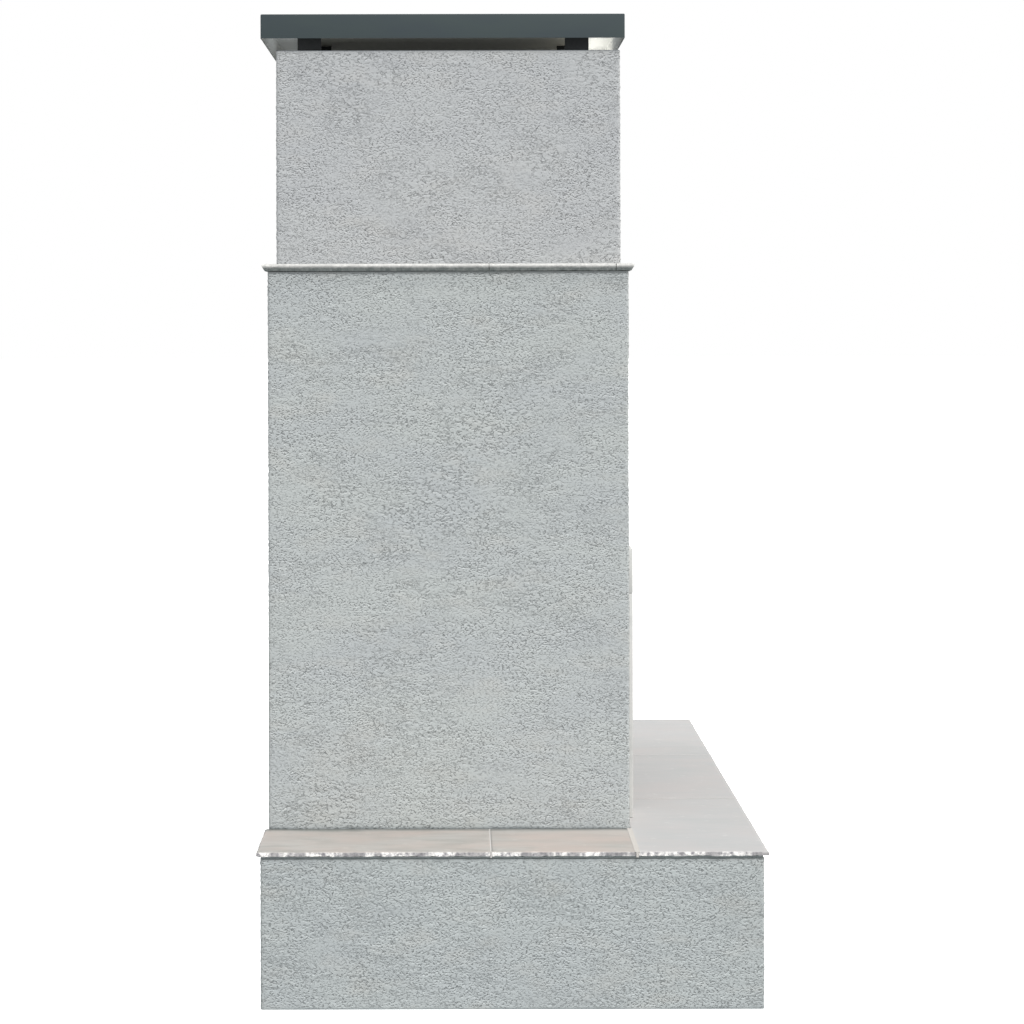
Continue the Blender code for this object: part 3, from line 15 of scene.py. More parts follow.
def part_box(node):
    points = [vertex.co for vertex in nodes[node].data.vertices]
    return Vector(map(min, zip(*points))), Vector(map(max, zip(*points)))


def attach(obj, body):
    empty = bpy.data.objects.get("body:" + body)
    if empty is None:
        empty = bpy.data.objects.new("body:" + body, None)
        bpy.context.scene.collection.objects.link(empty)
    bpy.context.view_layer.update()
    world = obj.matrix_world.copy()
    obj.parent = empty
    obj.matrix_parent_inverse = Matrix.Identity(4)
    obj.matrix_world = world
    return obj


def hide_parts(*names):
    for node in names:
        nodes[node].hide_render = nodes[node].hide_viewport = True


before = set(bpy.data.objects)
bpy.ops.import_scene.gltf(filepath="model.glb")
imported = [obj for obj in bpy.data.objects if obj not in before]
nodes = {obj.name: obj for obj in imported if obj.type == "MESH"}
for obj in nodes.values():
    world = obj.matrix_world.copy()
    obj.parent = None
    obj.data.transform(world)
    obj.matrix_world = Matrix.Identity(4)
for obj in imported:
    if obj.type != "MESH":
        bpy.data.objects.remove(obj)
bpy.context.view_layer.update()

# %% [markdown]
# ## The camera
# The photograph looks straight at the fireplace's left side, with the lens held level, so upright
# edges stay parallel. Its depth lines meet at one pixel. That pixel gives the lens shift, and how
# fast the hearth narrows towards it gives the distance and the focal length. The walls lean by a
# tenth of a degree all alike, so the camera was rolled that much.

# %% Place the camera
FRAME_PIXELS = 1024
SENSOR = 36.0
FOCAL_PIXELS = 2136
VANISHING_PIXEL = (457, 330)
EYE = (-5.212, 0.1017, 1.419)
ROLL = -0.12

bpy.ops.object.camera_add(location=EYE, rotation=(math.radians(90), 0, math.radians(-90)))
camera = bpy.context.object
camera.rotation_euler.rotate_axis("Z", math.radians(ROLL))
camera.name = "side_camera"
camera.data.sensor_width = SENSOR
camera.data.lens = FOCAL_PIXELS / FRAME_PIXELS * SENSOR
camera.data.shift_x = 0.5 - VANISHING_PIXEL[0] / FRAME_PIXELS
camera.data.shift_y = VANISHING_PIXEL[1] / FRAME_PIXELS - 0.5
bpy.context.scene.camera = camera
print("lens", round(camera.data.lens, 1), "mm")

# %% [markdown]
# ## Colours and nodes
# A colour picker gives sRGB values, while a render works in linear light, so one function turns
# the first into the second. Another adds a shader node with its settings, its links and, for a
# noise, the real size of its blobs, which keeps each material to a few readable lines. Real
# surfaces are one colour over another, so a third function lays them on in turn. The last two
# start and end a finish: a Principled shader with the object's own coordinates, which stay in
# metres on every piece here, and a bump of a real depth.

# %% Helpers for finishes
def colour(code):
    """An sRGB hex colour as the linear RGBA that nodes use."""
    parts = [int(code[i:i + 2], 16) / 255 for i in (1, 3, 5)]
    return (*[p / 12.92 if p <= 0.04045 else ((p + 0.055) / 1.055) ** 2.4 for p in parts], 1.0)


def feed(node, inputs):
    """Sets a node's inputs to values or hex colours, or links them to a socket or another node."""
    for key, value in inputs.items():
        if isinstance(value, bpy.types.Node):
            value = next(socket for socket in value.outputs if socket.enabled)
        if isinstance(value, bpy.types.NodeSocket):
            node.id_data.links.new(value, node.inputs[key])
        else:
            node.inputs[key].default_value = colour(value) if isinstance(value, str) else value


def add(tree, kind, inputs=None, stops=(), grain=None, **settings):
    """Adds a node. Stops fill a colour ramp; grain is a noise's place and its size in metres."""
    made = tree.nodes.new("ShaderNode" + kind)
    for key, value in settings.items():
        setattr(made, key, value)
    feed(made, inputs or {})
    if grain:
        scaled = add(tree, "Mapping", {0: grain[0], "Scale": [1 / size for size in grain[1]]})
        feed(made, {"Vector": scaled, "Scale": 1.0})
    for index, (spot, value) in enumerate(stops):
        ramp = made.color_ramp.elements
        stop = ramp[index] if index < 2 else ramp.new(spot)
        stop.position = spot
        stop.color = colour(value) if isinstance(value, str) else (value, value, value, 1)
    return made


def layered(tree, tint, *layers):
    """Lays colours over a tone: each by a share, or by a pattern whose ramp has stops."""
    for share, stops, other in layers:
        if stops:
            share = add(tree, "ValToRGB", {0: share}, stops)
        tint = add(tree, "Mix", {0: share, 6: tint, 7: other}, data_type="RGBA")
    return tint


def start_finish(name, base, roughness, metallic=0.0):
    """A new material: its tree, its shader and the object's coordinates in metres."""
    material = bpy.data.materials.new(name)
    material.use_nodes = True
    tree = material.node_tree
    tree.nodes.clear()
    shader = add(tree, "BsdfPrincipled",
                 {"Base Color": base, "Roughness": roughness, "Metallic": metallic})
    add(tree, "OutputMaterial", {"Surface": shader})
    return material, tree, shader, add(tree, "TexCoord").outputs["Object"]


def end_finish(shader, tint, relief, strength, depth):
    """Links the colour, and a bump of a depth in metres."""
    bump = add(shader.id_data, "Bump", {"Strength": strength, "Distance": depth, "Height": relief})
    feed(shader, {"Base Color": tint, "Normal": bump})


# %% [markdown]
# ## Stucco
# The walls are cement stucco with a knockdown finish: wet blobs are thrown on, and a blade drawn
# sideways flattens their tops. The eye gets flat islands with short pits between them, some 6 mm
# long and half as high: each has a dark upper lip and a bright lower one, as light comes from
# above. Besides the bump, the colour paints this: the pits are painted darker as painted shade, and
# a strip just below each pit is painted paler as a painted highlight. In some places the blobs were
# wetter and the pits run together, a little larger, and there are quiet patches where the blade
# pressed harder. Lumps that a mesh can carry are real relief, and the sharp lips and the sand are a
# bump. The mesh stores where the rough patches are in an attribute called grain, so relief and bump
# agree. A band along a wall's foot and another under its head are painted darker as painted shade.

# %% Stucco finish
FINE_PIT = (0.0054, 0.0054, 0.0028)
WET_PIT = (0.0066, 0.0066, 0.0040)   # where the blobs were wetter
LIP = 0.0022                         # how far below a pit lies the lower lip that is painted paler as a painted highlight
PIT_SHADE = 0.27                     # how far pits go to their painted shade, and lips to their painted highlight
LIP_HIGHLIGHT = 0.62
# Painted shade: a wall's foot and its head are painted darker in bands.
FOOT_SHADE, FOOT_FROM, FOOT_TO = 0.65, 0.0055, 0.0105
HEAD_SHADE, HEAD_FROM, HEAD_TO = 0.15, -0.045, -0.010
RAGGED = 0.010                       # how far the painted shade's edge wanders


def pits_at(tree, place, wetter_share):
    """Where the pits are, from 0 on the flats to 1: fine ones, and larger where it was wetter."""
    fine = add(tree, "TexNoise", {"Roughness": 0.7, "Distortion": 0.2}, grain=(place, FINE_PIT))
    wet = add(tree, "TexNoise", {"Detail": 2.5, "Roughness": 0.7, "Distortion": 0.25},
              grain=(place, WET_PIT))
    fine = add(tree, "ValToRGB", {0: fine}, [(0.36, 1.0), (0.45, 0.0)])
    wet = add(tree, "ValToRGB", {0: wet}, [(0.37, 1.0), (0.46, 0.0)])
    return add(tree, "Mix", {0: wetter_share, 2: fine, 3: wet})


def stucco(name, base, cool, warm, painted_shade, painted_highlight, foot, head):
    """Cement stucco: dull, drifting in tone, with pits in painted shade, lips in a painted
    highlight, and painted shade at the foot and head.
    """
    material, tree, shader, place = start_finish(name, base, 0.9)
    rough_patch = add(tree, "Attribute", attribute_name="grain").outputs["Fac"]
    wetter = add(tree, "TexNoise", grain=(place, (0.22, 0.22, 0.12)))
    wetter = add(tree, "ValToRGB", {0: wetter}, [(0.50, 0.0), (0.62, 0.9)])
    pits = pits_at(tree, place, wetter)
    above = add(tree, "Mapping", {0: place, "Location": (0, 0, LIP)})
    lips = add(tree, "Math", {0: pits_at(tree, above, wetter), 1: pits},
               operation="SUBTRACT", use_clamp=True)
    pits = add(tree, "Math", {0: pits, 1: rough_patch}, operation="MULTIPLY")
    lips = add(tree, "Math", {0: lips, 1: rough_patch}, operation="MULTIPLY")
    # Painted shade in the pits, and a painted highlight on the lips just below them.
    pit_shade_share = add(tree, "Math", {0: pits, 1: PIT_SHADE}, operation="MULTIPLY")
    lip_highlight_share = add(tree, "Math", {0: lips, 1: LIP_HIGHLIGHT}, operation="MULTIPLY")

    drift = add(tree, "TexNoise", {"Detail": 3.0, "Roughness": 0.6},
                grain=(place, (0.30, 0.30, 0.11)))
    stain = add(tree, "TexNoise", grain=(place, (0.12, 0.12, 0.05)))
    height = add(tree, "SeparateXYZ", {0: place}).outputs["Z"]
    height = add(tree, "Math", {0: stain, 1: RAGGED, 2: height}, operation="MULTIPLY_ADD")
    # Painted shade: darker towards a wall's foot and under its head, with a ragged edge.
    foot_shade = add(tree, "MapRange", {0: height, 1: foot + FOOT_FROM, 2: foot + FOOT_TO,
                                      3: FOOT_SHADE, 4: 0.0})
    head_shade = add(tree, "MapRange", {0: height, 1: head + HEAD_FROM, 2: head + HEAD_TO,
                                       3: 0.0, 4: HEAD_SHADE})
    tint = layered(tree, base, (drift, [(0.38, 0.0), (0.62, 1.0)], cool),
                   (stain, [(0.52, 0.0), (0.75, 0.6)], warm), (pit_shade_share, None, painted_shade),
                   (lip_highlight_share, None, painted_highlight), (foot_shade, None, painted_shade), (head_shade, None, painted_shade))

    sand = add(tree, "TexNoise", {"Detail": 3.0, "Roughness": 0.7},
               grain=(place, (0.0042, 0.0042, 0.0028)))
    flats = add(tree, "Math", {0: pits, 1: -1.0, 2: 1.0}, operation="MULTIPLY_ADD")
    coarse = add(tree, "Bump", {"Strength": 1.0, "Distance": 0.0030, "Height": flats})
    fine = add(tree, "Bump", {"Strength": 0.7, "Distance": 0.0007, "Height": sand,
                              "Normal": coarse})
    feed(shader, {"Base Color": tint, "Normal": fine})
    return material


LEDGE_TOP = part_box("ledge_tile_left_front")[1].z
MANTEL_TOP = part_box("mantel_tile_left_front")[1].z
NO_HEAD = 9.0   # metres, out of reach: the heads of base and chimney get no painted shade
# The fifth colour is the painted shade of pits, foot and head; the sixth is the lips' painted
# highlight.
BODY_STUCCO = stucco("knockdown_stucco_body", "#B1B5B3", "#ADB1B1", "#B4B5B1",
                     "#6E7475", "#DFE2E0", LEDGE_TOP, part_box("body_shell")[1].z)
BASE_STUCCO = stucco("knockdown_stucco_base", "#AAAFAE", "#A7ACAC", "#ADAEAA",
                     "#697072", "#D8DDDC", 0.0, NO_HEAD)
CHIMNEY_STUCCO = stucco("knockdown_stucco_chimney", "#B3B5B5", "#AFB1B2", "#B6B6B4",
                        "#727476", "#DDDFDF", MANTEL_TOP, NO_HEAD)
print("stucco finishes", 3)

# %% [markdown]
# ## Modelling helpers
# Each new piece starts as a primitive at its size and place. The transform is applied at once:
# the object then sits at the origin and its vertices hold the true place, as the CAD nodes' do.

# %% Helpers for meshes
def block(name, low, high):
    """A cube primitive between two corners, with its transform applied."""
    bpy.ops.object.select_all(action="DESELECT")
    size = [b - a for a, b in zip(low, high)]
    middle = [(a + b) / 2 for a, b in zip(low, high)]
    bpy.ops.mesh.primitive_cube_add(size=1, location=middle, scale=size)
    piece = bpy.context.object
    piece.name = piece.data.name = name
    bpy.ops.object.transform_apply(location=True, rotation=True, scale=True)
    return piece


def pick(piece, kind, test):
    """In edit mode, selects the vertices, edges or faces that pass a test of their place."""
    bpy.ops.mesh.select_mode(type=kind)
    bpy.ops.mesh.select_all(action="DESELECT")
    mesh = bmesh.from_edit_mesh(piece.data)
    parts = {"VERT": mesh.verts, "EDGE": mesh.edges, "FACE": mesh.faces}[kind]
    for part in [part for part in parts if test(part)]:
        part.select_set(True)
    bmesh.update_edit_mesh(piece.data)


def runs_along(edge, axis):
    """Whether an edge lies along an axis, 0 to 2."""
    reach = edge.verts[1].co - edge.verts[0].co
    return abs(reach[axis]) > 0.999 * reach.length


def divide(piece, axis, pitch):
    """Cuts the edges along an axis to about pitch, in two rounds, as one makes 100 cuts at most."""
    for spread in (0.5, 1.0):
        mesh = bmesh.from_edit_mesh(piece.data)
        longest = max(edge.calc_length() for edge in mesh.edges if runs_along(edge, axis))
        parts = max(2, round((longest / pitch) ** spread))
        pick(piece, "EDGE",
             lambda edge: runs_along(edge, axis) and edge.calc_length() > 0.6 * longest)
        bpy.ops.mesh.subdivide(number_cuts=parts - 1)


def modify(piece, kind, **settings):
    """Adds a modifier and applies it."""
    bpy.ops.object.select_all(action="DESELECT")
    piece.select_set(True)
    bpy.context.view_layer.objects.active = piece
    modifier = piece.modifiers.new(kind.title(), kind)
    for key, value in settings.items():
        setattr(modifier, key, value)
    bpy.ops.object.modifier_apply(modifier=modifier.name)


def weigh(piece, name, weight):
    """Stores weight(vertex) as a vertex group for modifiers and as an attribute for materials."""
    group = piece.vertex_groups.new(name=name + "_weight")
    values = [weight(vertex) for vertex in piece.data.vertices]
    for index, value in enumerate(values):
        if value > 0:
            group.add([index], value, "REPLACE")
    attribute = piece.data.attributes.new(name, "FLOAT", "POINT")
    attribute.data.foreach_set("value", values)


def dress(piece, finish, body, slot, *stands_for):
    """Gives a piece its finish, the CAD body it rides on and the nodes it stands for; slot is not
    used.
    """
    piece.data.materials.clear()
    piece.data.materials.append(finish)
    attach(piece, body)
    if stands_for:
        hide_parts(*stands_for)
    print(piece.name, len(piece.data.polygons), "faces")


def soft_step(value, low, high):
    """0 below low, 1 above high, and smooth between."""
    share = min(max((value - low) / (high - low), 0), 1)
    return share * share * (3 - 2 * share)


# %% [markdown]
# ## Stucco skins
# A skin is a box with rounded upright corners, no lid and no floor. Its outside is divided to a
# few millimetres. Its rims are then extruded inwards and bridged by long plain strips, which
# closes the walls and spends no faces where nobody looks.

# %% Walls round a box
WALL = 0.020
CORNER_RADIUS = 0.006
SKIN_PITCH = ((0.0062, 0.0032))   # along the wall, and upwards


def walls_round(name, low, high):
    """Four walls on a box, finely divided outside and plain inside."""
    piece = block(name, low, high)
    bpy.ops.object.mode_set(mode="EDIT")
    pick(piece, "EDGE", lambda edge: runs_along(edge, 2))
    bpy.ops.mesh.bevel(offset=CORNER_RADIUS, segments=3, affect="EDGES")
    pick(piece, "FACE", lambda face: abs(face.normal.z) > 0.9)
    bpy.ops.mesh.delete(type="FACE")
    for axis in (2, 0, 1):
        divide(piece, axis, SKIN_PITCH[axis == 2])
    width, depth = high[0] - low[0], high[1] - low[1]
    centre = [(a + b) / 2 for a, b in zip(low, high)]
    for rim in (low[2], high[2]):
        pick(piece, "EDGE", lambda edge: edge.is_boundary and all(
            abs(v.co.z - rim) < 1e-5 for v in edge.verts))
        bpy.ops.mesh.extrude_edges_move(TRANSFORM_OT_translate={"value": (0, 0, 0)})
        bpy.ops.transform.resize(value=(1 - 2 * WALL / width, 1 - 2 * WALL / depth, 1),
                                 center_override=centre)
    pick(piece, "EDGE", lambda edge: edge.is_boundary)
    bpy.ops.mesh.bridge_edge_loops()
    bpy.ops.mesh.select_all(action="SELECT")
    bpy.ops.mesh.normals_make_consistent(inside=False)
    bpy.ops.object.mode_set(mode="OBJECT")
    return piece


# %% [markdown]
# The relief could be sculpted, but noise gives an even hand over five square metres. A vertex
# group holds where the trowel left the surface rough. One Displace modifier makes the wall a
# little wavy, and a second one presses the pits in. An empty stretched sideways carries the pits'
# noise, which makes them longer than they are high.

# %% Relief of the stucco
WAVE_HEIGHT = 0.0012
PIT_DEPTH = 0.0016
PIT_RIM, WAVE_RIM = 0.006, 0.03   # how far from a skin's rims pits and waves reach their full size
PATCH = (0.105, 0.105, 0.046)     # size of a calm or rough patch

bpy.ops.object.empty_add(location=(0, 0, 0))
stretch = bpy.context.object
stretch.name = "stretch_of_the_trowel"
stretch.scale = (1.9, 1.9, 1.0)

pit_noise = bpy.data.textures.new("stucco_pits", "CLOUDS")
pit_noise.noise_scale = 0.0062
pit_noise.noise_depth = 1
pit_noise.contrast = 2.4
wave_noise = bpy.data.textures.new("stucco_waves", "CLOUDS")
wave_noise.noise_scale = 0.14


def patches(place, low, high, calm):
    """How rough the trowel left the stucco here, fading out at the skin's rims."""
    flat = Vector([along / size for along, size in zip(place, PATCH)])
    mottle = noise.noise(flat) + 0.6 * noise.noise(flat * 2.6)
    rim = min(place.z - low[2], high[2] - place.z)
    rough = 0.40 + 0.60 * soft_step(mottle, calm - 0.45, calm + 0.65)
    return rough * soft_step(rim, 0.0, PIT_RIM)


def skin(name, low, high, calm, opening=None):
    """A stucco skin on a box, with pits pressed into its outside."""
    piece = walls_round(name, low, high)
    if opening:
        cutter = block("opening_cutter", *opening)
        modify(piece, "BOOLEAN", object=cutter, operation="DIFFERENCE", solver="EXACT")
        bpy.data.objects.remove(cutter)

    def outside(vertex):
        inside = (low[0] + 0.5 * WALL < vertex.co.x < high[0] - 0.5 * WALL
                  and low[1] + 0.5 * WALL < vertex.co.y < high[1] - 0.5 * WALL)
        return 0.0 if inside else 1.0

    weigh(piece, "grain", lambda vertex: outside(vertex) * patches(vertex.co, low, high, calm))
    weigh(piece, "face", lambda vertex: outside(vertex) * soft_step(
        min(vertex.co.z - low[2], high[2] - vertex.co.z), 0, WAVE_RIM))
    modify(piece, "DISPLACE", texture=wave_noise, texture_coords="LOCAL",
           vertex_group="face_weight", strength=WAVE_HEIGHT, mid_level=0.5)
    modify(piece, "DISPLACE", texture=pit_noise, texture_coords="OBJECT",
           texture_coords_object=stretch, vertex_group="grain_weight", strength=PIT_DEPTH,
           mid_level=0.7)
    bpy.ops.object.shade_smooth_by_angle(angle=math.radians(50))
    return piece


# %% Skins of base, body and chimney
base_low, base_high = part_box("base_shell")
body_low, body_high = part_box("body_shell")
chimney_low, chimney_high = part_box("chimney_shell")

base_skin = skin("base_stucco", base_low, base_high, calm=-0.42)
dress(base_skin, BASE_STUCCO, "fireplace", "stucco", "base_shell")

chimney_skin = skin("chimney_stucco", chimney_low, chimney_high, calm=-0.18)
dress(chimney_skin, CHIMNEY_STUCCO, "fireplace", "chimney_stucco", "chimney_shell")

# %% [markdown]
# The body's skin would pass the limit for one piece, so after its relief is in place it is parted
# into its four walls. Parting comes last, because the walls then still meet vertex to vertex.

# %% Body skin
leg_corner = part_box("surround_leg_left")[1]
opening_half, opening_top = -leg_corner.x, leg_corner.z
body_skin = skin("body_stucco", body_low, body_high, calm=-0.24,
                 opening=((-opening_half, body_low.y - 0.01, body_low.z - 0.01),
                          (opening_half, body_low.y + 1.5 * WALL, opening_top)))


def part_off(piece, name, test):
    """Separates the faces that pass a test into a piece of their own."""
    bpy.ops.object.select_all(action="DESELECT")
    bpy.context.view_layer.objects.active = piece
    piece.select_set(True)
    bpy.ops.object.mode_set(mode="EDIT")
    pick(piece, "FACE", test)
    bpy.ops.mesh.separate(type="SELECTED")
    bpy.ops.object.mode_set(mode="OBJECT")
    made = next(o for o in bpy.context.selected_objects if o != piece)
    made.name = made.data.name = name
    return made


SIDE_WALL = body_high.x - 0.03   # a face whose middle is further out belongs to a side wall
walls = [part_off(body_skin, "body_stucco_" + label, test) for label, test in (
    ("left", lambda face: face.calc_center_median().x < -SIDE_WALL),
    ("right", lambda face: face.calc_center_median().x > SIDE_WALL),
    ("rear", lambda face: face.calc_center_median().y > 0))]
body_skin.name = "body_stucco_front"
for wall in walls + [body_skin]:
    dress(wall, BODY_STUCCO, "fireplace", "stucco", "body_shell")

# %% [markdown]
# ## Stone tiles
# The hearth and the mantel are stone-look porcelain tiles: a calm satin face with soft streaks,
# and outer edges that were split off by hand. A split edge is a row of small scoops. Their colour
# paints the light on them: pale rims from the fresh break and a painted highlight, dark hollows and
# dark runs in painted shade, and the rows that turn under in a foot colour of painted shade. On the
# ledges, a band along the foot of the wall is painted darker as painted shade.

# %% Stone finish
WALL_SHADE, WALL_SHADE_FROM, WALL_SHADE_TO = 0.9, -0.008, 0.014   # painted shade beside the wall that stands on the tile
CHIP_SHADE_AND_HIGHLIGHT = [(0.37, "#868386"), (0.47, "#B6B4B3"), (0.59, "#F0EDE8")]   # split faces: hollow in painted shade, rim pale from the break and a painted highlight


def stone(name, base, streak, cloud, dash, foot="#CBD2D1", contrast=1.0, roughness=0.42, wall=None):
    """Satin stone-look tile: streaks along Y, chipped where split is 1 in painted highlight and
    shade, turned-under rows in a foot colour of painted shade, and painted shade by a wall.
    """
    material, tree, shader, place = start_finish(name, base, roughness)
    streaks = add(tree, "TexNoise", {"Detail": 4.0, "Roughness": 0.6, "Distortion": 0.8},
                  grain=(place, (0.035, 0.15, 0.035)))
    clouds = add(tree, "TexNoise", {"Detail": 3.0}, grain=(place, (0.09, 0.20, 0.09)))
    dashes = add(tree, "TexNoise", {"Roughness": 0.4}, grain=(place, (0.016, 0.022, 0.016)))
    face = layered(tree, base, (streaks, [(0.40, 0.0), (0.62, 0.9)], streak),
                   (clouds, [(0.42, 0.0), (0.66, 0.8)], cloud),
                   (dashes, [(0.66, 0.0), (0.73, 0.22)], dash))
    # Painted shade: a darker band on the tile along the wall that stands on it.
    if wall:
        across = add(tree, "SeparateXYZ", {0: place}).outputs["X"]
        aside = add(tree, "Math", {0: across}, operation="ABSOLUTE")
        aside = add(tree, "Math", {0: streaks, 1: -0.030, 2: aside}, operation="MULTIPLY_ADD")
        wall_shade_share = add(tree, "MapRange", {0: aside, 1: wall + WALL_SHADE_FROM, 2: wall + WALL_SHADE_TO,
                                      3: WALL_SHADE, 4: 0.0})
        face = layered(tree, face, (wall_shade_share, None, "#737672"))

    # Split faces: pale rims from the fresh break and a painted highlight, dark hollows and dark runs
    # in painted shade.
    chips = add(tree, "TexNoise", {"Detail": 4.0, "Roughness": 0.65},
                grain=(place, (0.0085, 0.0085, 0.010)))
    shaded_runs = add(tree, "TexNoise", {"Detail": 3.0}, grain=(place, (0.050, 0.050, 0.30)))
    body = layered(tree, add(tree, "ValToRGB", {0: chips}, CHIP_SHADE_AND_HIGHLIGHT),
                   (shaded_runs, [(0.49, 0.0), (0.58, 0.75)], "#7C7A7C"))
    body = layered(tree, "#D9D8D3", (contrast, None, body))
    # Painted shade: the rows that turn under take the foot colour, with a ragged upper edge.
    under = add(tree, "Attribute", attribute_name="under").outputs["Fac"]
    wear_and_shade = add(tree, "ValToRGB", {0: chips}, [(0.40, 1.0), (0.60, 1 - 0.65 * contrast)])
    wear_and_shade = add(tree, "Math", {0: under, 1: wear_and_shade}, operation="MULTIPLY")

    split = add(tree, "Attribute", attribute_name="split").outputs["Fac"]
    tint = layered(tree, face, (split, None, layered(tree, body, (wear_and_shade, None, foot))))
    dull = add(tree, "Math", {0: split, 1: 0.85 - roughness, 2: roughness},
               operation="MULTIPLY_ADD")
    cleft = add(tree, "TexNoise", {"Detail": 4.0, "Roughness": 0.6},
                grain=(place, (0.020, 0.045, 0.020)))
    soft = add(tree, "Bump", {"Strength": 0.25, "Distance": 0.0006, "Height": cleft})
    gritty = add(tree, "Bump", {"Strength": split, "Distance": 0.0012, "Height": chips,
                                "Normal": soft})
    feed(shader, {"Base Color": tint, "Roughness": dull, "Normal": gritty})
    return material


# The ledge stone is a darker, warmer copy of the hearth stone: painted shade from the wall beside
# it.
SHADED_LEDGE_STONE = stone("porcelain_tile_ledge_painted_shade", "#B2AFAA", "#A09D97", "#BAADA5", "#CBC5BD",
                    wall=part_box("body_shell")[1].x)
HEARTH_STONE = stone("porcelain_tile_hearth", "#BAB9B8", "#B4B5B4", "#BCB8B6", "#D6D5D3")
# The mantel's dark foot colour is painted shade under its nose.
MANTEL_STONE = stone("porcelain_tile_mantel", "#BFBEBB", "#B7B6B3", "#C5C3BF", "#D1CFCA",
                     foot="#6F7573", contrast=0.25)
SURROUND_STONE = stone("porcelain_tile_surround", "#C3C3C0", "#BBBBB8", "#C9C8C4", "#D5D4D0")
print("tile finishes", 4)

# %% [markdown]
# Grout, mortar and board are fine mineral masses with darker grains in them, so one function with
# a grain size makes them all. The eye gets a chalky surface without a single flat tone.

# %% Grout and mortar
def cast_mass(name, base, fleck, size, roughness):
    """Board, grout or mortar: a fine mineral mass with flecks of a given size."""
    material, tree, shader, place = start_finish(name, base, roughness)
    flecks = add(tree, "TexNoise", {"Detail": 4.0, "Roughness": 0.65}, grain=(place, [size] * 3))
    tint = layered(tree, base, (flecks, [(0.42, 0.0), (0.68, 1.0)], fleck))
    end_finish(shader, tint, flecks, 0.5, 0.0005)
    return material


GROUT = cast_mass("sanded_grout", "#C6C3BF", "#BAB7B2", 0.002, 0.92)
BEAD = cast_mass("pale_sealing_bead", "#C2BEB8", "#B9B4AE", 0.002, 0.8)
THIN_SET = cast_mass("thin_set_mortar", "#AEB5B4", "#A0A7A6", 0.003, 0.95)
print("mineral finishes", 3)

# %% [markdown]
# A tile starts as a grid for its face. Its rim is extruded down in rows, and on each split side
# the rows are pushed out along the profile of a rounded nose with an undercut foot.

# %% Cut a tile
NOSE = 0.003
SPLIT_NOSE = ((0.07, 0.40), (0.30, 0.12), (0.65, 0.0), (1.0, 0.06))   # shares of drop and nose
SPLIT_FOOT = ((0.45, 0.9), (1.0, 2.0))
SIDES = {"left": (0, -1), "right": (0, 1), "front": (1, -1), "rear": (1, 1)}   # axis and sign
TILE_PITCH = 0.0045


def tile_blank(name, low, high, sides, turn):
    """A tile on a box; its split sides turn under at a share of the thickness."""
    top_low, top_high = list(low), list(high)
    for side in sides:
        axis, sign = SIDES[side]
        (top_low if sign < 0 else top_high)[axis] -= sign * NOSE
    bpy.ops.object.select_all(action="DESELECT")
    size = [b - a for a, b in zip(top_low, top_high)]
    bpy.ops.mesh.primitive_grid_add(
        x_subdivisions=max(2, round(size[0] / TILE_PITCH)),
        y_subdivisions=max(2, round(size[1] / TILE_PITCH)), size=1,
        location=((top_low[0] + top_high[0]) / 2, (top_low[1] + top_high[1]) / 2, high.z))
    piece = bpy.context.object
    piece.name = piece.data.name = name
    piece.scale = (size[0], size[1], 1)
    bpy.ops.object.transform_apply(location=True, rotation=True, scale=True)
    thickness = high.z - low.z
    rows = [(share * turn * thickness, inset * NOSE) for share, inset in SPLIT_NOSE]
    rows += [((turn + share * (1 - turn)) * thickness, inset * NOSE) for share, inset in SPLIT_FOOT]
    bpy.ops.object.mode_set(mode="EDIT")
    pick(piece, "EDGE", lambda edge: edge.is_boundary)
    depth, reach = 0.0, NOSE
    for drop, inset in rows:
        bpy.ops.mesh.extrude_edges_move(TRANSFORM_OT_translate={"value": (0, 0, depth - drop)})
        level = high.z - drop
        for side in sides:
            axis, sign = SIDES[side]
            edge_place = (low if sign < 0 else high)[axis] - sign * reach
            pick(piece, "VERT", lambda v: abs(v.co.z - level) < 1e-5
                 and abs(v.co[axis] - edge_place) < 1e-5)
            push = [0, 0, 0]
            push[axis] = sign * (reach - inset)
            bpy.ops.transform.translate(value=push)
        depth, reach = drop, inset
        pick(piece, "EDGE", lambda edge: edge.is_boundary)
    bpy.ops.mesh.edge_face_add()
    bpy.ops.mesh.select_all(action="SELECT")
    bpy.ops.mesh.normals_make_consistent(inside=False)
    bpy.ops.object.mode_set(mode="OBJECT")
    return piece


# %% [markdown]
# Two Displace modifiers then bite into the split sides only: large scoops from a cell pattern,
# then grit. The weights that hold them there are also attributes, so the finish knows which
# side is split and what has turned under. Only the face is shaded smooth.

# %% Split its edges
HEARTH_SCOOP, HEARTH_TURN = 0.0024, 0.80   # depth of the scoops, and where the edge turns under
MANTEL_SCOOP, MANTEL_TURN = 0.0009, 0.36
GRIT = 0.0010
scoop_noise = bpy.data.textures.new("split_scoops", "VORONOI")
scoop_noise.noise_scale = 0.011
scoop_noise.noise_intensity = 1.4
grit_noise = bpy.data.textures.new("split_grit", "CLOUDS")
grit_noise.noise_scale = 0.004


